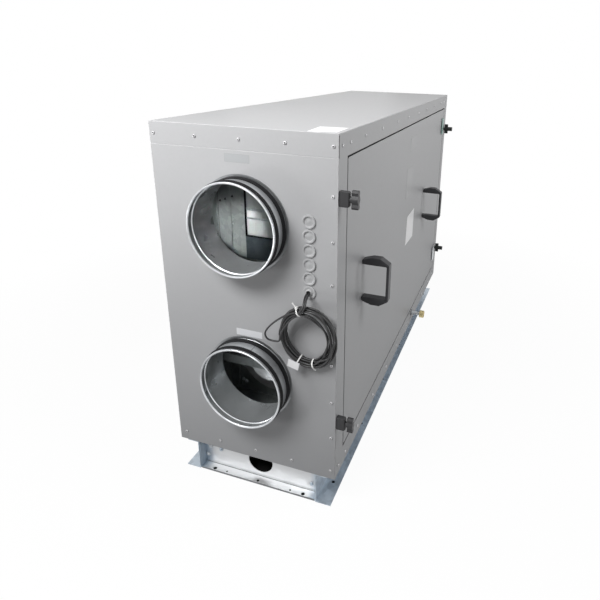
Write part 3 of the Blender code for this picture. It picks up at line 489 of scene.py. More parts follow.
# painted shade in the door's gap, lightening towards the bottom
DOOR_GAP_SHADE = Moulded("door_gap_painted_shade", (0.030, 0.030, 0.032), 0.7, foot=0.22)
ZINC = ZincCoat("rail_zinc", (0.50, 0.56, 0.62), 0.38, 0.70)
ZINC_BRIGHT = ZincCoat("bright_zinc", (0.74, 0.75, 0.76), 0.36, 0.50, 55.0, 0.05, ends=0.200)
DUCT_INSIDE = ZincCoat("duct_inside", (0.46, 0.48, 0.49), 0.32, 0.60, 42.0, 0.32)
ZINC_INSIDE = ZincCoat("zinc_inside", (0.33, 0.355, 0.355), 0.48, 0.20)
# painted shade: very dark zinc where the lower inside lies in shade
INSIDE_SHADE_ZINC = ZincCoat("inside_painted_shade_zinc", (0.085, 0.105, 0.120), 0.42, 0.25)
# dark zinc, partly painted shade, for the lip hems, their folds and the drain's flange
DARK_SHADE_ZINC = ZincCoat("dark_painted_shade_zinc", (0.22, 0.23, 0.24), 0.55, 0.30)
ZINC_GREEN = ZincCoat("passivated_zinc", (0.30, 0.44, 0.40), 0.42, 0.30, 160.0)
ZINC_PALE = ZincCoat("pale_zinc", (0.70, 0.73, 0.75), 0.40, 0.40, 160.0)
# the collar takes painted shade by its seals
BRIGHT = RolledSteel("rolled_steel", (0.66, 0.68, 0.70), 0.32, 0.80, painted_collar_shade=0.62)
SEAM_STEEL = RolledSteel("seam_steel", (0.16, 0.16, 0.17), 0.45, 0.60)
SCREW_STEEL = RolledSteel("screw_steel", (0.60, 0.60, 0.61), 0.34, 0.70)
ALLOY = RolledSteel("alloy", (0.70, 0.71, 0.72), 0.30, 0.80)
BRASS = RolledSteel("brass", (0.56, 0.50, 0.22), 0.28, 0.90)
# painted shade in the screws' recesses
SOCKET_SHADE = Moulded("socket_painted_shade", (0.05, 0.05, 0.052), 0.6)
BLACK_RUBBER = Moulded("black_rubber", (0.010, 0.010, 0.011), 0.50, grain=600.0, gloss=0.16)
HANDLE_PLASTIC = Moulded("handle_plastic", (0.046, 0.046, 0.050), 0.45)
KNOB_PLASTIC = Moulded("knob_plastic", (0.034, 0.034, 0.036), 0.48)
REAR_KNOB_PLASTIC = Moulded("rear_knob_plastic", (0.022, 0.026, 0.025), 0.42)
PALE_RUBBER = Moulded("pale_rubber", (0.420, 0.424, 0.430), 0.48, grain=900.0)
NYLON = Moulded("nylon", (0.80, 0.80, 0.79), 0.40, grain=800.0)
SHEATH = Sheath("cable_sheath", (0.020, 0.020, 0.021), 0.38)
WHITE_FILM = Film("white_film", (0.92, 0.92, 0.93), 0.42)
TAG_FILM = Film("tag_film", (0.74, 0.74, 0.77), 0.42)
SILVER_FILM = Film("silver_film", (0.40, 0.41, 0.42), 0.40, 0.1)
PALE_FILM = Film("pale_film", (0.66, 0.67, 0.69), 0.38)
CLEAR_FILM = Film("clear_film", (0.395, 0.398, 0.405), 0.40)
FILM_EDGE = Film("film_edge", (0.30, 0.305, 0.31), 0.35)
FLEECE = Fleece("fleece", (0.86, 0.87, 0.87), 0.9)


def rounded(shape: bmesh.types.BMesh, edges: Iterable[bmesh.types.BMEdge], width: float,
            segments: int = 2, clamp: bool = False) -> bmesh.types.BMesh:
    """Round some edges of a shape.

    Args:
        shape: the shape.
        edges: the edges to round.
        width: the width of the rounding, or 0 to leave the edges as they are.
        segments: faces across the rounding.
        clamp: whether the width gives way where two roundings would meet.

    Returns:
        The same shape.
    """
    if width:
        bmesh.ops.bevel(shape, geom=list(edges), offset=width, segments=segments, profile=0.5,
                        affect="EDGES", material=-1, clamp_overlap=clamp)
    return shape


def block(x_span: Sequence[float], y_span: Sequence[float], z_span: Sequence[float],
          edge: float = 0.0, segments: int = 2) -> bmesh.types.BMesh:
    """Make a box.

    Args:
        x_span: its two sides' places along X, in either order.
        y_span: the same along Y.
        z_span: the same along Z.
        edge: the width of its edges' rounding.
        segments: faces across the rounding.

    Returns:
        The box.
    """
    shape = bmesh.new()
    bmesh.ops.create_cube(shape, size=1.0)
    spans = (x_span, y_span, z_span)
    bmesh.ops.scale(shape, vec=[abs(b - a) for a, b in spans], verts=shape.verts)
    bmesh.ops.translate(shape, vec=[(a + b) / 2 for a, b in spans], verts=shape.verts)
    return rounded(shape, shape.edges, edge, segments)


def turned(profile: Iterable[Pair], steps: int, closed: bool = False) -> bmesh.types.BMesh:
    """Make a shape spun round the Z axis.

    Args:
        profile: (radius, along) points of its outline.
        steps: faces round the axis.
        closed: whether the outline returns to its first point, as a ring's does.

    Returns:
        The shape, its doubles merged and its faces pointing out.
    """
    shape = bmesh.new()
    points = [shape.verts.new((radius, 0, along)) for radius, along in profile]
    edges = [shape.edges.new(pair) for pair in zip(points, points[1:])]
    if closed:
        edges.append(shape.edges.new((points[-1], points[0])))
    bmesh.ops.spin(shape, geom=points + edges, cent=(0, 0, 0), axis=(0, 0, 1), angle=math.tau,
                   steps=steps, use_merge=True, use_duplicate=False)
    bmesh.ops.remove_doubles(shape, verts=shape.verts, dist=MERGE)
    bmesh.ops.recalc_face_normals(shape, faces=shape.faces)
    return shape


def plate(outline: Iterable[Pair], depth: float, edge: float = 0.0,
          segments: int = 2) -> bmesh.types.BMesh:
    """Make a flat shape that lies on the X and Y axes.

    Args:
        outline: its corners.
        depth: how far it grows upwards.
        edge: the width of its rims' rounding.
        segments: faces across the rounding.

    Returns:
        The shape.
    """
    shape = bmesh.new()
    face = shape.faces.new([shape.verts.new((x, y, 0)) for x, y in outline])
    grown = bmesh.ops.extrude_face_region(shape, geom=[face])
    raised = [part for part in grown["geom"] if isinstance(part, bmesh.types.BMVert)]
    bmesh.ops.translate(shape, vec=(0, 0, depth), verts=raised)
    bmesh.ops.recalc_face_normals(shape, faces=shape.faces)
    return rounded(shape, shape.edges, edge, segments)


def rectangle(size: Pair, centre: Pair = (0.0, 0.0)) -> list[Pair]:
    """Return a rectangle's corners."""
    return [(centre[0] + side * size[0] / 2, centre[1] + end * size[1] / 2)
            for side, end in ((-1, -1), (1, -1), (1, 1), (-1, 1))]


def facing(direction: Triple | Vector, x: float, y: float, z: float, roll: float = 0.0) -> Matrix:
    """Return a placement at a point, a shape's Z axis pointing along a direction."""
    turn = Vector(direction).to_track_quat("Z", "Y").to_matrix().to_4x4()
    return Matrix.Translation((x, y, z)) @ turn @ Matrix.Rotation(roll, 4, "Z")


def lying(origin: Triple, right: Triple, up: Triple, turn: float = 0.0) -> Matrix:
    """Lay a flat shape on a surface.

    Args:
        origin: where the shape's origin goes.
        right: the direction of its X axis.
        up: the direction of its Y axis; the shape grows along right cross up.
        turn: how far it is turned on the surface afterwards.

    Returns:
        The placement.
    """
    axes = Matrix((Vector(right), Vector(up), Vector(right).cross(Vector(up)))).transposed().to_4x4()
    return Matrix.Translation(origin) @ axes @ Matrix.Rotation(turn, 4, "Z")


def meshed(name: str, shape: bmesh.types.BMesh) -> bpy.types.Mesh:
    """Write a shape to a new mesh and free it.

    Args:
        name: the mesh's name.
        shape: the shape.

    Returns:
        The mesh.
    """
    data = bpy.data.meshes.new(name)
    shape.to_mesh(data)
    shape.free()
    return data


def joined(shape: bmesh.types.BMesh, other: bmesh.types.BMesh) -> bmesh.types.BMesh:
    """Add one shape to another.

    Args:
        shape: the shape that grows.
        other: the shape that is added and freed.

    Returns:
        The first shape.
    """
    copy = meshed("copy", other)
    shape.from_mesh(copy)
    bpy.data.meshes.remove(copy)
    return shape


def shown(name: str, data: bpy.types.ID) -> bpy.types.Object:
    """Put data in the scene.

    Args:
        name: the object's name.
        data: its mesh, curve, lamp or camera.

    Returns:
        The object.
    """
    made = bpy.data.objects.new(name, data)
    bpy.context.scene.collection.objects.link(made)
    return made


def settle(made: bpy.types.Object, body: Body | str, slot: Slot, replaces: Sequence[str] = ()) -> None:
    """Make an object ride on a body and stand for CAD nodes.

    Args:
        made: the object.
        body: the body, or a hand knob's by its name.
        slot: the record's slot; not used.
        replaces: the CAD nodes that it stands for.
    """
    rides_on = body.value if isinstance(body, Body) else body
    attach(made, rides_on)
    if replaces:
        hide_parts(*replaces)
    LOG.info("%s rides on %s", made.name, rides_on)


class Piece:
    """A named piece under construction: shapes are added to one mesh, each with its finish."""

    def __init__(self, name: str, body: Body | str, slot: Slot, replaces: Sequence[str] = (),
                 finishes: Iterable[Finish] = ()) -> None:
        """Start an empty piece.

        Args:
            name: what the finished piece is called.
            body: the body that it rides on.
            slot: the record's slot.
            replaces: the CAD nodes that it stands for.
            finishes: the finishes that its faces are numbered for, where they are.
        """
        self.name = name
        self.body = body
        self.slot = slot
        self.replaces = replaces
        self.mesh = bmesh.new()
        self.finishes = list(finishes)

    def index(self, finish: Finish) -> int:
        """Number a finish among this piece's, adding it where it is new.

        Args:
            finish: the finish.

        Returns:
            Its number.
        """
        if finish not in self.finishes:
            self.finishes.append(finish)
        return self.finishes.index(finish)

    def add(self, shape: bmesh.types.BMesh, finish: Finish | None, *placements: Matrix) -> Piece:
        """Add copies of a shape.

        Args:
            shape: the shape, freed here.
            finish: what it is made of, or None where its faces are already numbered.
            placements: where each copy goes; one at the origin where none is given.

        Returns:
            This piece, so that calls can be chained.
        """
        if finish is not None:
            number = self.index(finish)
            for face in shape.faces:
                face.material_index = number
        source = meshed("source", shape)
        for placement in placements or (Matrix.Identity(4),):
            copy = source.copy()
            copy.transform(placement)
            self.mesh.from_mesh(copy)
            bpy.data.meshes.remove(copy)
        bpy.data.meshes.remove(source)
        return self

    def finish(self) -> bpy.types.Object:
        """Write the mesh to an object that rides on its body.

        Returns:
            The finished object, at the origin.
        """
        data = meshed(self.name, self.mesh)
        for one in self.finishes:
            data.materials.append(one.material())
        data.polygons.foreach_set("use_smooth", [True] * len(data.polygons))
        data.set_sharp_from_angle(angle=SHARP)
        made = shown(self.name, data)
        made.modifiers.new("even_shading", "WEIGHTED_NORMAL").keep_sharp = True
        settle(made, self.body, self.slot, self.replaces)
        return made


def from_node(node: str, edge: float) -> bmesh.types.BMesh:
    """Copy a CAD node and round its sharp edges.

    Args:
        node: the CAD node's name.
        edge: the width of the rounding.

    Returns:
        The copy, merged, in the place of the node.
    """
    shape = bmesh.new()
    shape.from_mesh(bpy.data.objects[node].data)
    bmesh.ops.remove_doubles(shape, verts=shape.verts, dist=MERGE)
    bmesh.ops.dissolve_limit(shape, angle_limit=LEVEL, verts=shape.verts, edges=shape.edges,
                             use_dissolve_boundaries=False)
    sharp = [one for one in shape.edges if len(one.link_faces) == 2 and one.calc_face_angle(0) > CREASE]
    return rounded(shape, sharp, edge, clamp=True)


def dress(name: str, node: str, finish: Finish | Callable[[Vector, Vector], Finish], slot: Slot,
          edge: float, body: Body | str = Body.CASE) -> None:
    """Make a piece that stands for a CAD node, with rounded edges.

    Args:
        name: the piece's name.
        node: the CAD node it stands for.
        finish: one finish, or a function of a face's middle and normal that picks one.
        slot: the record's slot.
        edge: the width of the rounding.
        body: what it rides on.
    """
    piece = Piece(name, body, slot, (node,))
    shape = from_node(node, edge)
    if isinstance(finish, Finish):
        piece.add(shape, finish)
    else:
        for face in shape.faces:
            face.material_index = piece.index(finish(face.calc_center_median(), face.normal))
        piece.add(shape, None)
    piece.finish()


def smooth(share: float) -> float:
    """Return an eased share, flat at 0 and 1."""
    share = min(1.0, max(0.0, share))
    return share * share * (3.0 - 2.0 * share)


def hump(away: float, width: float) -> float:
    """Return a smooth hump that is 1 where away is 0 and fades over a width, both in degrees."""
    return math.exp(-(((away + 180.0) % 360.0 - 180.0) / width) ** 2)


@dataclass
class ControlCable:
    """The control cable: out of the gland, round the coil with one loose loop, and back.

    Angles of the coil are in degrees, from its right side anticlockwise. A lie is how far something
    runs outside the coil's middle line, and a front is how far before it. The knots are the loop's
    places and pulls. The slots are the turns' places in the bundle, on its outer ring or in its core.
    slot_change is the swept angle at which the first turn leaves its slot, how much sooner each next
    one does, and how long it takes. The strays stand away from the bundle: (turn, reach, angle swept
    from the upper tie, width of the hump). The sway is outwards and forwards, the dive is the first
    turn's way under the bundle (length, depth), and the rise is the last one's to the tie (start,
    length).
    """

    diameter: float = 0.005
    exit: Triple = (0.1857, -0.8308, 0.700)
    entry: Triple = (0.1917, -0.8308, 0.700)
    centre: Triple = (0.1930, -0.847633, 0.5798)
    lean: float = math.radians(7)
    radius: float = 0.0695
    stretch: float = 1.22
    tie: float = 102.0
    lower_ties: Pair = (282.0, 245.0)
    tie_to_strand: float = 2.143
    strand_pull: Triple = (0, -0.036, -0.004)
    strand_steps: int = 14
    strand_front: float = 0.0169
    steep: float = math.radians(24)
    exit_lie: float = 0.0048
    exit_pull: float = 0.028
    entry_lie: float = -0.0012
    entry_pull: float = 0.030
    loop_lie: float = -0.0068
    loop_front: float = 0.0150
    loop_pulls: Pair = (0.046, -0.026)
    loop_steps: int = 12
    knots: tuple[tuple[Triple, Triple], ...] = (
        ((0.0155, -0.1170, -0.0010), (0.0, 0.0, -0.018)),
        ((0.0105, -0.0950, -0.0240), (0.0, 0.0145, 0.0)),
        ((0.0180, -0.0720, -0.0020), (0.0, 0.002, 0.0142)))
    turns: int = 11
    steps: int = 48
    ring: Pair = (0.0082, 0.0102)
    core: Pair = (0.0031, 0.0039)
    slots: tuple[tuple[bool, float], ...] = (
        (True, 190.0), (True, 230.0), (True, 270.0), (True, 310.0), (True, 350.0), (False, 330.0),
        (False, 210.0), (True, 150.0), (False, 90.0), (True, 30.0), (True, 70.0), (True, 110.0))
    strays: tuple[tuple[int, float, float, float], ...] = (
        (4, 0.0125, -86.0, 24.0), (9, 0.0035, 70.0, 20.0), (9, -0.0045, 120.0, 22.0),
        (10, 0.0070, 40.0, 18.0), (10, 0.0085, 124.0, 20.0), (10, -0.0050, 156.0, 11.0),
        (10, 0.0040, -95.0, 26.0))
    slot_change: Triple = (292.0, 24.0, 60.0)
    packing: float = 1.08
    loose_right: float = 0.42
    tight_left: float = 0.14
    loose_foot: float = 0.34
    shoulder: Triple = (0.40, 48.0, 26.0)
    grip: float = 11.0
    sway: Pair = (0.0006, 0.0004)
    dive: Pair = (95.0, 0.006)
    rise: Pair = (318.0, 40.0)

    def frame(self) -> Matrix:
        """Return the placement of the coil's own axes: forward, across and up."""
        turn = Euler((0, self.lean, -math.pi / 2)).to_matrix().to_4x4()
        return Matrix.Translation(self.centre) @ turn

    def run(self, degrees: float) -> Vector:
        """Return the direction in which the coil's middle line runs at an angle."""
        angle = math.radians(degrees)
        return Vector((0, -math.sin(angle), self.stretch * math.cos(angle))).normalized()

    def beside(self, degrees: float, out: float = 0.0, forward: float = 0.0) -> Vector:
        """Find a point beside the coil's middle line.

        Args:
            degrees: the angle on the coil.
            out: how far outside the middle line.
            forward: how far before it.

        Returns:
            The point in the coil's own axes.
        """
        angle = math.radians(degrees)
        run = self.run(degrees)
        return Vector((forward, self.radius * math.cos(angle) + out * run.z,
                       self.radius * self.stretch * math.sin(angle) - out * run.y))

    @staticmethod
    def bend(knots: Sequence[tuple[Vector, Vector]], steps: int) -> list[Vector]:
        """Draw a smooth curve.

        Args:
            knots: the places that it passes, each with its pull.
            steps: points from one knot to the next.

        Returns:
            The curve's points.
        """
        points: list[Vector] = []
        for (start, leave), (end, arrive) in zip(knots, knots[1:]):
            points += geometry.interpolate_bezier(start, start + leave, end - arrive, end, steps + 1)[:-1]
        return points + [knots[-1][0]]

    def strand(self, start: Triple, lie: float, pull: float) -> list[Vector]:
        """Draw a strand from the gland to the upper tie.

        Args:
            start: where it leaves the gland.
            lie: how far outside the middle line it passes the tie.
            pull: how strongly it straightens there.

        Returns:
            Its points.
        """
        frame = self.frame()
        landing = self.tie - self.tie_to_strand
        arrive = frame.to_3x3() @ Matrix.Rotation(self.steep, 3, "X") @ self.run(landing) * pull
        end = frame @ self.beside(landing, lie, self.strand_front)
        return self.bend([(Vector(start), Vector(self.strand_pull)), (end, arrive)], self.strand_steps)

    def loop(self) -> list[Vector]:
        """Draw the loop that stands out of the coil at its left.

        Returns:
            Its points.
        """
        leave, arrive = self.loop_pulls
        angle = self.tie + self.tie_to_strand
        run = self.run(angle)
        knots = [(self.beside(angle, self.exit_lie, self.strand_front), run * leave)]
        knots += [(Vector(place), Vector(pull)) for place, pull in self.knots]
        knots += [(self.beside(angle, self.loop_lie, self.loop_front), run * arrive)]
        return [self.frame() @ point for point in self.bend(knots, self.loop_steps)]

    def spread(self, degrees: float) -> float:
        """Find how far the turns stand apart: close at the ties, loose at the right.

        Args:
            degrees: the angle on the coil.

        Returns:
            The share by which the bundle is wider than its slots.
        """
        across, up = math.cos(math.radians(degrees)), math.sin(math.radians(degrees))
        share, middle, width = self.shoulder
        loose = self.loose_right * max(0.0, across) - self.tight_left * max(0.0, -across)
        loose += self.loose_foot * max(0.0, -up) + share * hump(degrees - middle, width)
        for tie in (self.tie, *self.lower_ties):
            loose *= 1.0 - hump(degrees - tie, self.grip)
        return self.packing + loose

    def slot(self, turn: int) -> Pair:
        """Find where a turn lies in the bundle.

        Args:
            turn: its number; past the last slot it stays there.

        Returns:
            How far outside and how far before the middle line.
        """
        outer, degrees = self.slots[min(turn, len(self.slots) - 1)]
        angle = math.radians(degrees)
        across, deep = self.ring if outer else self.core
        return across * math.cos(angle), deep * math.sin(angle)

    def lie(self, turn: int, swept: float) -> Pair:
        """Find where the cable runs in the coil.

        Args:
            turn: the turn's number.
            swept: the angle swept on it from the upper tie.

        Returns:
            How far outside and how far before the middle line.
        """
        start, sooner, length = self.slot_change
        ease = smooth((swept - start + sooner * turn) / length)
        out, forward = (a + (b - a) * ease for a, b in zip(self.slot(turn), self.slot(turn + 1)))
        out *= self.spread(self.tie - swept)
        out += sum(reach * hump(swept - angle, width)
                   for number, reach, angle, width in self.strays if number == turn)
        out += self.sway[0] * math.sin(math.radians(2 * swept + 97 * turn))
        forward += self.sway[1] * math.sin(math.radians(3 * swept + 61 * turn))
        if turn == 0:
            sunk = smooth(swept / self.dive[0])
            out += (self.loop_lie - out) * (1 - sunk) - self.dive[1] * math.sin(math.pi * sunk)
            forward += (self.loop_front - forward) * (1 - sunk)
        if turn == self.turns - 1:
            risen = smooth((swept - self.rise[0]) / self.rise[1])
            out += (self.entry_lie - out) * risen
            forward += (self.strand_front - forward) * risen
        return out, forward

    def wound(self) -> list[Vector]:
        """Draw the turns of the coil, from the upper tie clockwise back to it.

        Returns:
            Their points.
        """
        points = []
        frame = self.frame()
        for step in range(1, self.turns * self.steps):
            turn, part = divmod(step, self.steps)
            swept = part * 360.0 / self.steps
            points.append(frame @ self.beside(self.tie - swept, *self.lie(turn, swept)))
        return points

    def route(self) -> list[Vector]:
        """Draw the whole centreline from the gland and back to it.

        Returns:
            Its points.
        """
        out = self.strand(self.exit, self.exit_lie, self.exit_pull)
        back = self.strand(self.entry, self.entry_lie, self.entry_pull)
        return out + self.loop() + self.wound() + back[::-1]

    def build(self) -> None:
        """Make the cable with its ties and its blank tag."""
        route = self.route()
        curve = bpy.data.curves.new("control_cable_run", "CURVE")
        curve.dimensions = "3D"
        curve.bevel_depth = self.diameter / 2
        curve.bevel_resolution = 3
        curve.use_fill_caps = True
        line = curve.splines.new("POLY")
        line.points.add(len(route) - 1)
        for point, place in zip(line.points, route):
            point.co = (*place, 1.0)
        line.use_smooth = True
        curve.materials.append(SHEATH.material())
        cable = shown("control_cable_run", curve)
        settle(cable, Body.CASE, Slot.CABLE,
               ("control_cable", "control_cable_return", "cable_loop", "cable_coil"))
        length = sum((b - a).length for a, b in zip(route, route[1:]))
        ties = CableTies(self)
        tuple(self.exit)
        ties.build()
        ties.tag()
        LOG.info("cable is %.3f m long", length)

@dataclass
class CableTies:
    """The three white ties of a coiled cable, and the blank tag that lies on the lowest one.

    Each band is (front, width, tail), in the order of the cable's ties. Across is measured from the
    head's middle, which is head_shift before the band's, and out from the band's side.
    """

    cable: ControlCable
    tilt: float = math.radians(22)
    rear: float = -0.0132
    side: float = 0.0122
    wall: float = 0.0011
    bands: tuple[Triple, ...] = ((0.0202, 0.0046, 0.015), (0.0130, 0.0042, 0.003),
                                 (0.0130, 0.0036, 0.003))
    head_shift: float = 0.004
    head_across: Pair = (-0.0032, 0.0034)
    head_out: Pair = (-0.0022, 0.0042)
    head_lap: float = 0.0014
    strap_across: Pair = (-0.0004, 0.0008)
    strap_edge: float = 0.0003
    tag_size: Pair = (0.034, 0.027)
    tag_wall: float = 0.0008
    tag_edge: float = 0.0003
    tag_face: Pair = (0.90, 0.86)
    tag_film: float = 0.00012
    tag_place: Triple = (0.0146, -0.041, -0.088)
    tag_turn: float = math.radians(-15)

    def place(self, degrees: float) -> Matrix:
        """Place a tie: X forward, Y out of the coil, Z along the cable.

        Args:
            degrees: its angle on the coil.

        Returns:
            The placement, tilted for the upper tie.
        """
        run = self.cable.run(degrees)
        turn = Matrix((Vector(RIGHT), run.cross(Vector(RIGHT)), run)).transposed().to_4x4()
        tilt = Matrix.Rotation(self.tilt if degrees == self.cable.tie else 0.0, 4, "X")
        return self.cable.frame() @ Matrix.Translation(self.cable.beside(degrees)) @ turn @ tilt

    def band(self, front: float, width: float) -> bmesh.types.BMesh:
        """Make a tie's band.

        Args:
            front: how far before the coil's middle line it passes.
            width: its width along the cable.

        Returns:
            The band round the Z axis, with its wall.
        """
        shape = bmesh.new()
        ring = bmesh.ops.create_circle(shape, cap_ends=False, segments=32, radius=1.0)["verts"]
        bmesh.ops.scale(shape, vec=((front - self.rear) / 2, self.side, 1), verts=ring)
        bmesh.ops.translate(shape, vec=((front + self.rear) / 2, 0, -width / 2), verts=ring)
        grown = bmesh.ops.extrude_edge_only(shape, edges=shape.edges)
        lifted = [part for part in grown["geom"] if isinstance(part, bmesh.types.BMVert)]
        bmesh.ops.translate(shape, vec=(0, 0, width), verts=lifted)
        bmesh.ops.recalc_face_normals(shape, faces=shape.faces)
        bmesh.ops.solidify(shape, geom=shape.faces, thickness=-self.wall)
        return shape

    def build(self) -> bpy.types.Object:
        """Make the ties, each a band with its head and its strap's tail.

        Returns:
            The piece.
        """
        piece = Piece("cable_ties", Body.CASE, Slot.LABEL)
        for degrees, (front, width, tail) in zip((self.cable.tie, *self.cable.lower_ties), self.bands):
            middle = (front + self.rear) / 2 + self.head_shift
            near, far = (self.side + part for part in self.head_out)
            head_half, strap_half = width / 2 + self.head_lap, width / 2 - self.strap_edge
            head = block([middle + part for part in self.head_across], (near, far),
                         (-head_half, head_half), SOFT_EDGE, 3)
            strap = block([middle + part for part in self.strap_across],
                          (self.side, far + tail), (-strap_half, strap_half), self.strap_edge)
            for shape in (self.band(front, width), head, strap):
                piece.add(shape, NYLON, self.place(degrees))
        return piece.finish()

    def tag(self) -> bpy.types.Object:
        """Make the blank tag, with its laminated face.

        Returns:
            The piece.
        """
        face = tuple(side * share for side, share in zip(self.tag_size, self.tag_face))
        place = (self.cable.frame() @ Matrix.Translation(self.tag_place)
                 @ lying((0, 0, 0), BACK, UP, self.tag_turn))
        piece = Piece("blank_tag", Body.CASE, Slot.LABEL, ("cable_tag",))
        piece.add(plate(rectangle(self.tag_size), self.tag_wall, self.tag_edge), TAG_FILM, place)
        piece.add(plate(rectangle(face), self.tag_film), WHITE_FILM,
                  place @ Matrix.Translation((0, 0, self.tag_wall)))
        return piece.finish()


@dataclass(frozen=True)
class Lamp:
    """A soft rectangular lamp: where it stands, what it is aimed at, its size, power and spread."""

    name: str
    place: Triple
    aim: Triple
    size: Pair
    power: float
    spread: float = 180.0


@dataclass
class Studio:
    """The camera, the lamps, the floor and the white surroundings.

    The floor has a painted shadow under the case, inside the spans under_side and under_end, and its
    glow rises to full over the span of clear, measured from the object's middle.
    """

    camera_place: Triple = (0.66892, -1.92995, 1.27749)
    camera_turn: Triple = (71.25198, -1.35420, 18.27058)
    lens: float = 30.4155
    shift: Pair = (-0.09408, -0.11362)
    lamps: tuple[Lamp, ...] = (
        Lamp("key_lamp", (-0.5, -2.05, 2.15), (0.0, -0.8, 1.1), (1.2, 0.7), 44.0),
        Lamp("low_lamp", (-1.7, -2.1, 0.35), (0.1, -0.8, 0.60), (0.6, 0.4), 9.0),
        Lamp("fill_lamp", (0.75, -2.7, 0.8), (0.1, -0.6, 0.7), (0.8, 0.6), 2.0),
        Lamp("high_lamp", (2.0, -0.5, 2.6), (0.2, -0.1, 0.9), (1.4, 0.8), 25.0),
        Lamp("side_lamp", (3.0, 1.2, 0.8), (0.2, 0.0, 0.7), (0.6, 0.7), 16.0),
        Lamp("rear_lamp", (-1.6, 3.4, 0.9), (0.0, 0.2, 0.6), (1.8, 1.4), 22.0),
        Lamp("lid_lamp", (0.2, 0.9, 3.0), (0.0, 0.4, 1.1), (1.0, 1.0), 8.0),
        Lamp("duct_lamp", (0.67, -1.95, 1.28), (0.0, -0.86, 0.863), (0.15, 0.15), 0.085, 4.0))
    ambient: float = 0.09
    bounce: float = 0.30
    white: float = 0.98
    # the grey of the painted shadow under the case
    dark: float = 0.02
    glow: float = 0.95
    under_side: Pair = (0.235, 0.250)
    under_end: Pair = (0.813, 0.819)
    clear: Pair = (1.0, 2.1)
    floor_reach: float = 30.0

    def camera(self) -> None:
        """Place the camera where the photograph was taken from."""
        data = bpy.data.cameras.new("camera")
        data.lens = self.lens
        data.sensor_width = 36.0
        data.shift_x, data.shift_y = self.shift
        data.clip_start = 0.05
        made = shown("camera", data)
        made.location = self.camera_place
        made.rotation_euler = [math.radians(part) for part in self.camera_turn]
        bpy.context.scene.camera = made

    @staticmethod
    def light(lamp: Lamp) -> None:
        """Add one lamp that the camera doesn't see.

        Args:
            lamp: the lamp.
        """
        data = bpy.data.lights.new(lamp.name, "AREA")
        data.shape = "RECTANGLE"
        data.size, data.size_y = lamp.size
        data.energy = lamp.power
        data.spread = math.radians(lamp.spread)
        made = shown(lamp.name, data)
        made.matrix_world = facing(Vector(lamp.place) - Vector(lamp.aim), *lamp.place)
        made.visible_camera = False

    @staticmethod
    def seen(shader: Shader) -> Signal:
        """Tell rays from the camera, from gloss or through glass from the others.

        Args:
            shader: the nodes of the world or a material.

        Returns:
            1 on such a ray, and 0 on the others.
        """
        camera, gloss, glass = (shader.node("ShaderNodeLightPath", {}, {}, f"Is {kind} Ray")
                                for kind in ("Camera", "Glossy", "Transmission"))
        return camera.larger(gloss).larger(glass)

    def surroundings(self) -> None:
        """Make the world white to the camera and to reflections, and dim as a light."""
        world = bpy.data.worlds.new("surroundings")
        bpy.context.scene.world = world
        shader = Shader(world, "Background")
        shader.set(Color=(1.0, 1.0, 1.0), Strength=self.seen(shader) * (1.0 - self.ambient) + self.ambient)

    def floor_look(self) -> bpy.types.Material:
        """Write the floor's material: white as seen, dimmer as a light, and with a painted shadow under
        the case.

        Returns:
            The material.
        """
        material = bpy.data.materials.new("floor")
        shader = Shader(material)
        seen = self.seen(shader)
        place = shader.place()
        across, along = abs(shader.axis(place, "X")), abs(shader.axis(place, "Y"))
        outside = across.ramp(*self.under_side).larger(along.ramp(*self.under_end))
        reach = shader.node("ShaderNodeVectorMath", {"operation": "LENGTH"}, {0: place}, "Value")
        share = outside * (self.glow + (1.0 - self.glow) * reach.ramp(*self.clear))
        ground = shader.blend(seen, (self.bounce,) * 3, (self.white,) * 3)
        # painted shadow: the floor's colour is dark under the case
        shader.set(Base_Color=shader.blend(outside, (self.dark,) * 3, ground), Roughness=0.9,
                   Specular_IOR_Level=0.0)
        glow = shader.node("ShaderNodeEmission", {}, {"Color": (1.0, 1.0, 1.0), "Strength": 1.0})
        surface = Signal(shader, shader.surface.outputs[0])
        mixed = shader.node("ShaderNodeMixShader", {}, {0: seen * share, 1: surface, 2: glow})
        shader.feed(shader.tree.nodes["Material Output"].inputs["Surface"], mixed)
        return material

    def floor(self) -> None:
        """Lay a white floor that still takes the object's shadow."""
        shape = bmesh.new()
        bmesh.ops.create_grid(shape, x_segments=1, y_segments=1, size=self.floor_reach)
        data = meshed("floor", shape)
        data.materials.append(self.floor_look())
        shown("floor", data)

    def build(self) -> None:
        """Set up everything round the object."""
        bpy.context.scene.view_settings.view_transform = "Standard"
        self.camera()
        for lamp in self.lamps:
            self.light(lamp)
        self.surroundings()
        self.floor()


def screw_shape(radius: float, height: float) -> bmesh.types.BMesh:
    """Make a pan-head screw standing on Z.

    Args:
        radius: its head's radius.
        height: its head's height.

    Returns:
        The screw, the faces of its six-point recess numbered 1 and the rest 0.
    """
    shape = turned([(0.0, 0.0), (radius, 0.0), (radius, height * 0.45), (radius * 0.86, height * 0.82),
                    (radius * 0.60, height), (0.0, height)], 12)
    rim, point, slope, sink = radius * 0.10, 0.64, radius * 0.02, height * 0.55
    middle = [vert for vert in shape.verts if vert.co.z > height - MERGE and vert.co.xy.length < MERGE]
    bmesh.ops.dissolve_verts(shape, verts=middle)
    crown = max(shape.faces, key=lambda face: (round(face.calc_center_median().z, 6), len(face.verts)))
    bmesh.ops.inset_individual(shape, faces=[crown], thickness=rim)
    for vert in list(crown.verts)[1::2]:
        vert.co.xy *= point
    walls = bmesh.ops.inset_individual(shape, faces=[crown], thickness=slope, depth=-sink)
    # the recess takes the painted shade
    for face in [crown, *walls["faces"]]:
        face.material_index = 1
    return shape


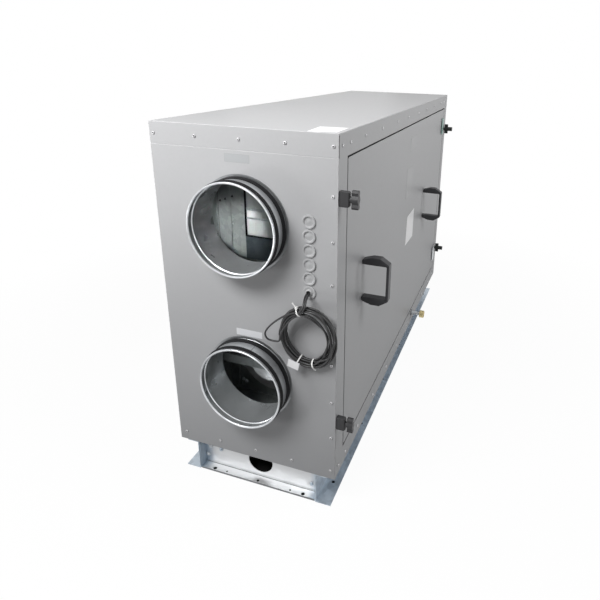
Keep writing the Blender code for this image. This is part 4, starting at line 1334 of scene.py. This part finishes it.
def hex_bolt(radius: float, height: float, washer: float) -> bmesh.types.BMesh:
    """Make a hexagon-headed bolt on its washer, standing on Z.

    Args:
        radius: its head's radius.
        height: its whole height.
        washer: the washer's radius.

    Returns:
        The bolt.
    """
    lift = 0.0018
    disc = turned([(0.0, 0.0), (washer, 0.0), (washer, 0.0012), (washer * 0.92, lift), (0.0, lift)], 24)
    head = turned([(0.0, lift), (radius, lift), (radius, height - 0.0008), (radius * 0.86, height),
                   (0.0, height)], 6)
    return joined(disc, head)


def star_washer(radius: float) -> bmesh.types.BMesh:
    """Make a toothed washer with its screw's dome, standing on Z.

    Args:
        radius: its teeth's outer radius.

    Returns:
        The washer and the dome.
    """
    teeth, lift = 12, 0.0010
    outline = []
    for number in range(2 * teeth):
        angle = math.pi * number / teeth
        reach = radius if number % 2 else radius * 0.70
        outline.append((reach * math.cos(angle), reach * math.sin(angle)))
    dome = turned([(0.0, lift), (radius * 0.52, lift), (radius * 0.48, 0.0028), (radius * 0.28, 0.0040),
                   (0.0, 0.0043)], 16)
    return joined(plate(outline, lift), dome)


@dataclass
class Fasteners:
    """The case's screws: rows along the lid's flanges, the end panels and the door frame.

    Each screw is rolled on from the one before it by end_roll or side_roll, so that the recesses differ.
    """

    head: Pair = (0.0043, 0.0028)
    rim_height: float = 1.0847
    foot_height: float = 0.1358
    flange_row: tuple[float, ...] = (-0.2521, -0.1272, 0.0, 0.1272, 0.2521)
    foot_row: tuple[float, ...] = (-0.2417, -0.1177, 0.0064, 0.1272, 0.2512)
    column_side: float = 0.2518
    column: tuple[float, ...] = (0.9635, 0.8463, 0.7292, 0.6100, 0.4918, 0.3716, 0.2525)
    side_row: tuple[float, ...] = (-0.795, -0.735, -0.612, -0.438, -0.250, -0.086, 0.091, 0.268, 0.445,
                                   0.622, 0.736, 0.794)
    end_roll: float = 0.7
    side_roll: float = 0.9

    def row(self, name: str, places: Sequence[Matrix]) -> None:
        """Make one wall's screws as one piece."""
        # the recesses take the painted shade
        piece = Piece(name, Body.CASE, Slot.GALVANISED, finishes=(SCREW_STEEL, SOCKET_SHADE))
        piece.add(screw_shape(*self.head), None, *places).finish()

    def build(self) -> None:
        """Make the screws of the four walls."""
        for end, sign in ENDS:
            points = [(x, self.rim_height) for x in self.flange_row]
            points += [(x, self.foot_height) for x in self.foot_row]
            points += [(self.column_side, z) for z in self.column]
            self.row(f"{end}_end_screws", [
                facing((0, sign, 0), -sign * x, sign * (REAR + SEAT), z, self.end_roll * number)
                for number, (x, z) in enumerate(points)])
        for side, sign in (("door_side", 1), ("closed_side", -1)):
            self.row(f"{side}_screws", [
                facing((sign, 0, 0), sign * (HALF_WIDTH + SEAT), y, z, self.side_roll * number)
                for z in (self.rim_height, self.foot_height) for number, y in enumerate(self.side_row)])


@dataclass
class Housing:
    """The folded sheet of the case, its door and what closes it.

    A face belongs to a fold, which takes a painted highlight, where no part of its normal reaches
    flat, and looks sideways where its X part is under edge_on. Faces within the inner sizes are bare
    zinc, and those that line the door's opening, within the margin, are in painted shade.
    """

    fold: float = 0.0010
    leaf_fold: float = 0.0018
    flat: float = 0.97
    edge_on: float = 0.5
    inner_side: float = INNER_SIDE + 0.002
    inner_end: float = REAR - 0.040
    inner_height: Pair = (BOTTOM + 0.040, TOP - 0.010)
    door_end: float = 0.7515
    door_height: Pair = (0.176, 1.048)
    margin: float = 0.0075
    rim_depth: float = 0.003
    slit: float = 0.0028
    slit_inset: float = 0.0019
    slit_depth: float = 0.0002
    slit_top: float = TOP - 0.005
    seal_edge: float = 0.0015
    handle_edge: float = 0.0020

    def skin(self, middle: Vector, normal: Vector) -> Finish:
        """Pick the finish of a face: coat outside, a lighter coat as a painted highlight on a fold, and
        zinc inside the case.

        Args:
            middle: the face's middle.
            normal: its normal.

        Returns:
            The finish.
        """
        low, high = self.inner_height
        if abs(middle.x) < self.inner_side and abs(middle.y) < self.inner_end and low < middle.z < high:
            return ZINC_INSIDE
        # a fold's faces take the painted highlight
        return COAT_FOLD_HIGHLIGHT if max(abs(part) for part in normal) < self.flat else COAT

    def frame_skin(self, middle: Vector, normal: Vector) -> Finish:
        """Pick the finish of a face of the door's frame, with painted shade where its opening is lined.

        Args:
            middle: the face's middle.
            normal: its normal.

        Returns:
            The finish.
        """
        low, high = self.door_height
        inside = (abs(middle.y) < self.door_end + self.margin
                  and low - self.margin < middle.z < high + self.margin)
        # the opening's lining takes painted shade
        return DOOR_GAP_SHADE if inside and abs(normal.x) < self.edge_on else self.skin(middle, normal)

    def leaf_skin(self, middle: Vector, normal: Vector) -> Finish:
        """Pick the finish of a face of the door, with painted shade round its rim behind the fold.

        Args:
            middle: the face's middle.
            normal: its normal.

        Returns:
            The finish.
        """
        rim = abs(normal.x) < self.edge_on and middle.x < HALF_WIDTH - self.rim_depth
        # the rim behind the fold takes painted shade
        return DOOR_GAP_SHADE if rim else COAT

    def build(self) -> None:
        """Make each panel with rounded folds, the door and its fittings."""
        for node in ("lid", "front_end_panel", "rear_end_panel", "side_panel_left", "floor_panel"):
            dress(f"{node}_sheet", node, self.skin, Slot.HOUSING, self.fold)
        dress("door_frame_sheet", "door_frame", self.frame_skin, Slot.HOUSING, self.fold)
        dress("door_leaf", "inspection_door", self.leaf_skin, Slot.HOUSING, self.leaf_fold, Body.DOOR)
        dress("door_seal", "door_gasket", BLACK_RUBBER, Slot.RUBBER, self.seal_edge, Body.DOOR)
        for level, finish in (("upper", ZINC_GREEN), ("lower", ZINC_PALE)):
            dress(f"keeper_plate_{level}", f"door_keeper_{level}", finish, Slot.GALVANISED, SHEET_EDGE,
                  Body.DOOR)
            dress(f"knob_block_{level}", f"clamp_base_{level}_front", KNOB_PLASTIC, Slot.PLASTIC,
                  MOULDED_EDGE)
            for end, plastic in (("front", KNOB_PLASTIC), ("rear", REAR_KNOB_PLASTIC)):
                dress(f"knob_{level}_{end}", f"clamp_knob_{level}_{end}", plastic, Slot.PLASTIC,
                      MOULDED_EDGE, f"knob_{level}_{end}")
        for end, _ in ENDS:
            dress(f"bow_handle_{end}", f"door_handle_{end}", HANDLE_PLASTIC, Slot.PLASTIC,
                  self.handle_edge, Body.DOOR)
        self.corner_slits()

    def corner_slits(self) -> None:
        """Make the painted shade of the slits at the lid's corners, where its flanges meet the sides."""
        piece = Piece("lid_corner_slits", Body.CASE, Slot.RUBBER)
        near = REAR - self.slit_inset
        for side in (-1, 1):
            for end in (-1, 1):
                # dark strips of painted shade in the slits
                piece.add(block((side * HALF_WIDTH, side * (HALF_WIDTH + self.slit_depth)),
                                (end * near, end * (near - self.slit)),
                                (FLANGE_BOTTOM, self.slit_top)), GAP_SHADE)
        piece.finish()


@dataclass
class BarePlates:
    """The bare plates and films, where the real unit carries its labels."""

    film: float = 0.0003
    rim: float = 0.0006
    clear_rim: float = 0.0022
    lid: tuple[Pair, ...] = ((0.1823, -0.8181), (0.2530, -0.8034), (0.2522, -0.7109), (0.1759, -0.7195))
    sheet: tuple[Pair, ...] = ((-0.0210, 0.5644), (0.1142, 0.5639), (0.1179, 0.6873), (-0.0087, 0.6833))

    def lay(self, name: str, place: Matrix, corners: Sequence[Pair], finish: Finish,
            border: float) -> None:
        """Lay one film on a surface.

        Args:
            name: the piece's name, which starts with door where it rides on the door.
            place: the surface's placement.
            corners: its outline in the surface's own two axes.
            finish: its finish.
            border: the width of a darker border, or 0 for none.
        """
        shape = plate(corners, self.film)
        if border:
            face = max(shape.faces, key=lambda one: one.calc_center_median().z)
            for rim in bmesh.ops.inset_individual(shape, faces=[face], thickness=border)["faces"]:
                rim.material_index = 1
        body = Body.DOOR if name.startswith("door") else Body.CASE
        Piece(name, body, Slot.LABEL, finishes=(finish, FILM_EDGE)).add(shape, None, place).finish()

    def build(self) -> None:
        """Lay the films of the lid, the front and the door."""
        top = lying((0, 0, TOP), RIGHT, BACK)
        front = lying((0, FRONT, 0), RIGHT, UP)
        side = lying((HALF_WIDTH, 0, 0), BACK, UP)
        for name, place, corners, finish, border in (
                ("lid_film", top, self.lid, WHITE_FILM, 0.0),
                ("front_plate_upper", front, rectangle((0.0708, 0.0214), (-0.0075, 1.0363)), SILVER_FILM,
                 self.rim),
                ("front_plate_lower", front, rectangle((0.0810, 0.0200), (0.0040, 0.5410)), PALE_FILM,
                 0.0),
                ("door_sheet", side, self.sheet, WHITE_FILM, 0.0),
                ("door_film_upper", side, rectangle((0.130, 0.052), (0.046, 0.9726)), CLEAR_FILM,
                 self.clear_rim),
                ("door_film_lower", side, rectangle((0.105, 0.118), (-0.0057, 0.8266)), CLEAR_FILM,
                 self.clear_rim)):
            self.lay(name, place, corners, finish, border)


@dataclass
class DuctSpigot:
    """One round duct collar with its rolled rim and its two lip seals.

    The lips are the spans of the seals' grooves along the collar, and the bead is the pressed ring
    (start, end, depth) between them. Each edge of the lap seam is (start, end, angle off the top).
    """

    level: str
    end: str
    height: float
    seam: bool = False
    radius: float = 0.125
    wall: float = 0.002
    tail: float = -0.049
    reach: float = 0.066
    groove: float = 0.0012
    ramp: float = 0.0006
    lips: tuple[Pair, ...] = ((0.0070, 0.0190), (0.0480, 0.0568))
    bead: Triple = (0.0400, 0.0470, 0.0042)
    bead_margin: float = 0.002
    inner_depth: float = 0.0017
    rim_depth: float = 0.0060
    laps: tuple[Triple, ...] = ((0.0195, 0.0470, 15.0), (0.0576, 0.0652, 12.0))
    lap_half: float = 0.0007
    lap_depth: Pair = (-0.0006, 0.0004)
    faces: int = 128

    def section(self) -> list[Pair]:
        """Draw the collar's section: flange, grooves, rolled rim, inner wall and bead.

        Returns:
            Its (radius, along) points.
        """
        r = self.radius
        inner = r - self.wall
        rim = self.reach - 0.0032
        points = [(inner, self.tail), (r, self.tail), (r, SEAT), (r + 0.0088, SEAT), (r + 0.009, 0.0009),
                  (r + 0.0086, 0.0018), (r + 0.0016, 0.0019), (r + 0.0004, 0.0030), (r, 0.0050)]
        for low, high in self.lips:
            points += [(r, low - self.ramp), (r - self.groove, low), (r - self.groove, high),
                       (r, high + self.ramp)]
        points += [(r + 0.0004, rim - 0.0026), (r + 0.0013, rim - 0.0019), (r + 0.0016, rim),
                   (r + 0.0013, rim + 0.0020), (r + 0.0002, rim + 0.0030), (r - 0.0011, rim + 0.0032),
                   (r - 0.0032, rim + 0.0024), (r - 0.0042, rim + 0.0008), (r - 0.0038, rim - 0.0010),
                   (inner, rim - 0.0022)]
        low, high, press = self.bead
        return points + [(inner, high + self.ramp), (r - press, high - 0.0010), (r - press, low + 0.0014),
                         (inner, low - self.ramp)]

    def lip(self, low: float, high: float) -> list[Pair]:
        """Draw one seal's section: a strip in its groove, and a lip that rises towards the case.

        Args:
            low: where its groove starts along the collar.
            high: where the groove ends.

        Returns:
            Its (radius, along) points.
        """
        root = self.radius - self.groove + 0.0001
        tip = self.radius + 0.0037
        return [(root, low + 0.0001), (root + 0.0016, low + 0.0001), (tip - 0.0008, low - 0.0010),
                (tip, low - 0.0004), (tip - 0.0001, low + 0.0012), (self.radius + 0.0018, high - 0.0030),
                (self.radius + 0.0012, high - 0.0003), (root, high - 0.0001)]

    def inside(self, middle: Vector) -> bool:
        """Tell whether a face is of the inner wall, which is zinc but for its bead and its rim.

        Args:
            middle: the face's middle, along the collar's own axis.

        Returns:
            Whether it is.
        """
        low, high, _ = self.bead
        pressed = low - self.bead_margin < middle.z < high + self.bead_margin
        deep = middle.xy.length < self.radius - self.inner_depth
        return deep and not pressed and middle.z < self.reach - self.rim_depth

    def build(self) -> None:
        """Make the collar, its seals and, where it shows, its lap seam."""
        sign = dict(ENDS)[self.end]
        place = facing((0, sign, 0), 0, sign * REAR, self.height)
        collar = Piece(f"duct_collar_{self.level}_{self.end}", Body.CASE, Slot.GALVANISED,
                       (f"duct_spigot_{self.level}_{self.end}",), (BRIGHT, DUCT_INSIDE))
        shape = turned(self.section(), self.faces, closed=True)
        for face in shape.faces:
            face.material_index = int(self.inside(face.calc_center_median()))
        collar.add(shape, None, place)
        if self.seam:
            self.lap(collar, sign)
        collar.finish()
        seal = Piece(f"lip_seal_{self.level}_{self.end}", Body.CASE, Slot.RUBBER,
                     (f"spigot_seal_{self.level}_{self.end}",))
        for low, high in self.lips:
            seal.add(turned(self.lip(low, high), self.faces, closed=True), BLACK_RUBBER, place)
        seal.finish()

    def lap(self, collar: Piece, sign: int) -> None:
        """Add the edge of the sheet's lap, a thin line that runs along the collar near its top.

        Args:
            collar: the collar's piece.
            sign: 1 at the rear and -1 at the front.
        """
        for start, end, turn in self.laps:
            edge = block((-self.lap_half, self.lap_half), (sign * (REAR + start), sign * (REAR + end)),
                         [self.radius + part for part in self.lap_depth])
            collar.add(edge, SEAM_STEEL, Matrix.Translation((0, 0, self.height))
                       @ Matrix.Rotation(math.radians(turn), 4, "Y"))


@dataclass
class CableEntries:
    """The column of closed grommets and the gland of the control cable below it."""

    side: float = 0.1887
    top: float = 0.893
    pitch: float = 0.0386
    radius: float = 0.018375
    closed: int = 5
    faces: int = 48

    def place(self, number: int) -> Matrix:
        """Return the placement of an entry, counted from the top."""
        return facing(AHEAD, self.side, FRONT, self.top - number * self.pitch)

    def build(self) -> None:
        """Make the closed grommets and the open one."""
        r = self.radius
        collar = [(0.0, 0.0004), (r, 0.0004), (r, 0.0026), (r - 0.0006, 0.0036), (r - 0.0018, 0.0041),
                  (r - 0.0040, 0.0041), (r - 0.0052, 0.0034)]
        web = [(r - 0.0064, 0.0012), (r - 0.0072, 0.0010), (0.0070, 0.0012), (0.0052, 0.0020),
               (0.0, 0.0024)]
        for number in range(self.closed):
            node = f"blank_grommet_{number + 1}"
            Piece(f"closed_{node}", Body.CASE, Slot.GROMMET, (node,)).add(
                turned(collar + web, self.faces), PALE_RUBBER, self.place(number)).finish()
        nose = [(0.0098, 0.0030), (0.0090, 0.0042), (0.0076, 0.0078), (0.0069, 0.0080), (0.0062, 0.0070)]
        mouth = [nose[-1], (0.0060, 0.0030), (0.0, 0.0028)]
        gland = Piece("cable_gland", Body.CASE, Slot.GROMMET, ("cable_grommet",))
        gland.add(turned(collar + nose, self.faces), PALE_RUBBER, self.place(self.closed))
        # painted shade: a dark disc in the gland's mouth
        gland.add(turned(mouth, self.faces), GAP_SHADE, self.place(self.closed))
        gland.finish()


@dataclass
class BaseFrame:
    """The galvanised rails and cross-members under the case, and the drain beside them."""

    web_face: float = 0.7885
    lip_tip: float = 0.8195
    rail_inner: float = -0.2000
    hem_side: float = 0.1990
    hem_wall: float = 0.0012
    hem_height: Pair = (0.0002, 0.0058)
    fold_depth: Pair = (-0.0004, 0.0012)
    fold_height: Pair = (0.0022, 0.0030)
    nut_start: float = 0.3045
    flange_end: float = HALF_WIDTH + 0.0035
    stars: tuple[Triple, ...] = ((-0.1923, 0.0310, 0.2), (-0.1835, 0.0660, 0.2), (0.1905, 0.0330, 0.5))
    web_bolts: tuple[Triple, ...] = ((-0.1420, 0.0640, 0.3), (0.1772, 0.0284, 0.3))
    slits: tuple[tuple[Pair, Pair], ...] = (((-0.8044, 0.008), (-0.7971, 0.067)),
                                            ((-0.8030, 0.012), (-0.7900, 0.040)))
    slit_half: float = 0.0007
    slit_depth: float = 0.0002

    def drain_skin(self, middle: Vector, _: Vector) -> Finish:
        """Pick the finish of a face of the drain: painted shade on its flange, bright pipe, brass nut at
        its end.

        Args:
            middle: the face's middle.

        Returns:
            The finish.
        """
        if middle.x > self.nut_start:
            return BRASS
        # the flange takes painted shade
        return DARK_SHADE_ZINC if middle.x < self.flange_end else ZINC_PALE

    def build(self) -> None:
        """Dress the rails and cross-members, and add what is fixed to them."""
        for node in ("base_rail_left", "base_rail_right", "base_crossmember_middle"):
            dress(f"{node}_zinc", node, ZINC, Slot.GALVANISED, SHEET_EDGE)
        for end, sign in ENDS:
            node = f"base_crossmember_{end}"
            dress(f"{node}_zinc", node, ZINC_BRIGHT, Slot.GALVANISED, SHEET_EDGE)
            self.hem(end, sign)
        dress("drain_pipe", "drain_outlet", self.drain_skin, Slot.BRASS, SHEET_EDGE)
        self.bolts()
        self.tab()

    def hem(self, end: str, sign: int) -> None:
        """Make the folded hem along a cross-member's lip, darker zinc partly with painted shade, and the
        painted shade in its inner fold.

        Args:
            end: the end's name.
            sign: 1 at the rear and -1 at the front.
        """
        side = (-self.hem_side, self.hem_side)
        tip = (sign * self.lip_tip, sign * (self.lip_tip + self.hem_wall))
        fold = tuple(sign * (self.web_face + part) for part in self.fold_depth)
        piece = Piece(f"lip_hem_{end}", Body.CASE, Slot.GALVANISED)
        # the hem is darker zinc and painted shade; the block in its fold is painted shade only
        piece.add(block(side, tip, self.hem_height, TIGHT_EDGE), DARK_SHADE_ZINC)
        piece.add(block(side, fold, self.fold_height), DARK_SHADE_ZINC).finish()

    def bolts(self) -> None:
        """Make the toothed bolts at the frame's corners and the bolts in its front web."""
        piece = Piece("frame_bolts", Body.CASE, Slot.GALVANISED)
        for shape, finish, places in ((star_washer(0.0085), ZINC_PALE, self.stars),
                                      (hex_bolt(0.0046, 0.0050, 0.0064), ZINC, self.web_bolts)):
            piece.add(shape, finish, *[facing(AHEAD, x, -self.web_face, z, roll) for x, z, roll in places])
        piece.finish()

    def tab(self) -> None:
        """Make the painted shade of the slits that part the left rail's end tab from its web."""
        piece = Piece("rail_tab_slits", Body.CASE, Slot.GALVANISED)
        for low, high in self.slits:
            start, run = Vector(low), Vector(high) - Vector(low)
            line = block((-run.length / 2, run.length / 2), (-self.slit_half, self.slit_half),
                         (0, self.slit_depth))
            # dark lines of painted shade in the slits
            piece.add(line, GAP_SHADE, lying((self.rail_inner, *(start + run / 2)), BACK, UP,
                                             math.atan2(run.y, run.x)))
        piece.finish()


@dataclass
class Interior:
    """What shows through the ducts and behind the door."""

    wall: float = -0.6075
    opening_side: float = 0.1697
    opening: Pair = (0.6698, 0.9998)
    overlap: float = 0.004
    retained_side: float = 0.1225
    retained_foot: float = 0.7440
    retainer_depth: Pair = (0.0034, 0.0054)
    rubber_depth: Pair = (0.0024, 0.0074)
    rubber_side: float = 0.0045
    rubber_foot: float = 0.003
    rib_depth: float = 0.002
    ribs: tuple[Pair, ...] = ((0.8290, 0.0080), (0.8010, 0.0055), (0.9020, 0.0055))
    filter_edge: float = 0.0015
    fold: tuple[Pair, Pair] = ((-0.2140, -0.2128), (0.690, 0.930))
    fold_wall: float = 0.0006
    clips: tuple[Pair, ...] = ((-0.2057, 0.8531), (-0.1873, 0.8599), (-0.1619, 0.8706))
    rivet: Pair = (-0.1640, 0.7812)
    wall_bolt: Pair = (-0.1636, 0.6871)
    fan_plate: float = -0.5825
    bar: Pair = (-0.1260, 0.2390)
    bar_turn: float = math.radians(-16.0)
    bracket: tuple[Pair, Pair] = ((-0.1900, -0.1800), (0.170, 0.262))
    bracket_depth: float = 0.012
    plate_bolts: tuple[Pair, ...] = ((-0.1711, 0.1926), (-0.1600, 0.1860))

    def build(self) -> None:
        """Dress the shelves, plenum walls, filters, fans and exchanger."""
        for end, _ in ENDS:
            # the shelves take the painted shade
            dress(f"shelf_{end}", f"partition_{end}", INSIDE_SHADE_ZINC, Slot.GALVANISED, SHEET_EDGE)
            dress(f"plenum_{end}", f"plenum_wall_{end}", ZINC_INSIDE, Slot.GALVANISED, TIGHT_EDGE)
            dress(f"pleated_filter_{end}", f"filter_{end}", FLEECE, Slot.FILTER, self.filter_edge)
        for fan in ("lower_front", "upper_rear"):
            dress(f"fan_plate_{fan}", f"fan_mount_{fan}", ZINC_INSIDE, Slot.GALVANISED, TIGHT_EDGE)
            dress(f"fan_rotor_{fan}", f"fan_wheel_{fan}", ALLOY, Slot.ALUMINIUM, TIGHT_EDGE)
        dress("exchanger_plates", "heat_exchanger", ALLOY, Slot.ALUMINIUM, SHEET_EDGE)
        self.retainer()
        self.wall_fittings()
        self.fan_fittings()

    def retainer(self) -> None:
        """Make the plates that hold the front filter at both sides and below, edged with rubber."""
        piece = Piece("filter_retainer", Body.CASE, Slot.GALVANISED)
        depth, rubber = ([self.wall + part for part in span]
                         for span in (self.retainer_depth, self.rubber_depth))
        width = (-self.retained_side, self.retained_side)
        low, high = self.opening[0] - self.overlap, self.opening[1] + self.overlap
        foot = self.retained_foot
        for side in (-1, 1):
            outer, inner = side * (self.opening_side + self.overlap), side * self.retained_side
            piece.add(block((outer, inner), depth, (low, high), TIGHT_EDGE), ZINC_INSIDE)
            piece.add(block((inner, inner - side * self.rubber_side), rubber, (foot, high), TIGHT_EDGE),
                      BLACK_RUBBER)
        # the retainer's foot plate takes the painted shade
        piece.add(block(width, depth, (low, foot), TIGHT_EDGE), INSIDE_SHADE_ZINC)
        piece.add(block(width, rubber, (foot, foot + self.rubber_foot), TIGHT_EDGE), BLACK_RUBBER)
        for height, tall in self.ribs:
            piece.add(block(width, (depth[1], depth[1] + self.rib_depth), (height, height + tall),
                            SHEET_EDGE), ZINC_PALE)
        piece.finish()

    def wall_fittings(self) -> None:
        """Make the fold's painted shade, the clips, the rivet and the bolt on the front plenum wall."""
        piece = Piece("plenum_fittings", Body.CASE, Slot.GALVANISED)
        # painted shade: a dark strip along the fold
        piece.add(block(self.fold[0], (self.wall - self.fold_wall, self.wall), self.fold[1]), GAP_SHADE)
        clip = plate([(-0.0050, -0.0035), (0.0050, -0.0035), (0.0015, 0.0050)], 0.0012, 0.0003, 1)
        piece.add(clip, GAP_SHADE, *[lying((x, self.wall, z), RIGHT, UP) for x, z in self.clips])
        rivet = turned([(0.0, 0.0), (0.0030, 0.0), (0.0022, 0.0014), (0.0, 0.0018)], 16)
        bolt = hex_bolt(0.0060, 0.0070, 0.0095)
        for shape, (x, z), roll in ((rivet, self.rivet, 0.0), (bolt, self.wall_bolt, 0.3)):
            piece.add(shape, ZINC_PALE, facing(AHEAD, x, self.wall, z, roll))
        piece.finish()

    def fan_fittings(self) -> None:
        """Make the bar, the bracket and the bolts on the lower front fan's plate."""
        piece = Piece("fan_plate_fittings", Body.CASE, Slot.GALVANISED)
        face = self.fan_plate
        bar = block((-0.050, 0.050), (0.0, 0.0065), (0.0, 0.0060), SOFT_EDGE)
        piece.add(bar, ZINC_PALE, lying((self.bar[0], face, self.bar[1]), RIGHT, UP, self.bar_turn))
        piece.add(block(self.bracket[0], (face - self.bracket_depth, face), self.bracket[1], SOFT_EDGE),
                  ZINC_INSIDE)
        piece.add(hex_bolt(0.0048, 0.0058, 0.0070), ZINC_PALE,
                  *[facing(AHEAD, x, face, z, 0.4) for x, z in self.plate_bolts])
        piece.finish()


def main() -> None:
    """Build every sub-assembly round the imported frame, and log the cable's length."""
    logging.basicConfig(level=logging.INFO, format="%(name)s: %(message)s")
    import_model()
    Studio().build()
    ControlCable().build()
    Housing().build()
    BarePlates().build()
    for end, _ in ENDS:
        DuctSpigot("upper", end, 0.863).build()
        DuctSpigot("lower", end, 0.396, seam=True).build()
    CableEntries().build()
    BaseFrame().build()
    Interior().build()
    Fasteners().build()


if __name__ == "__main__":
    main()
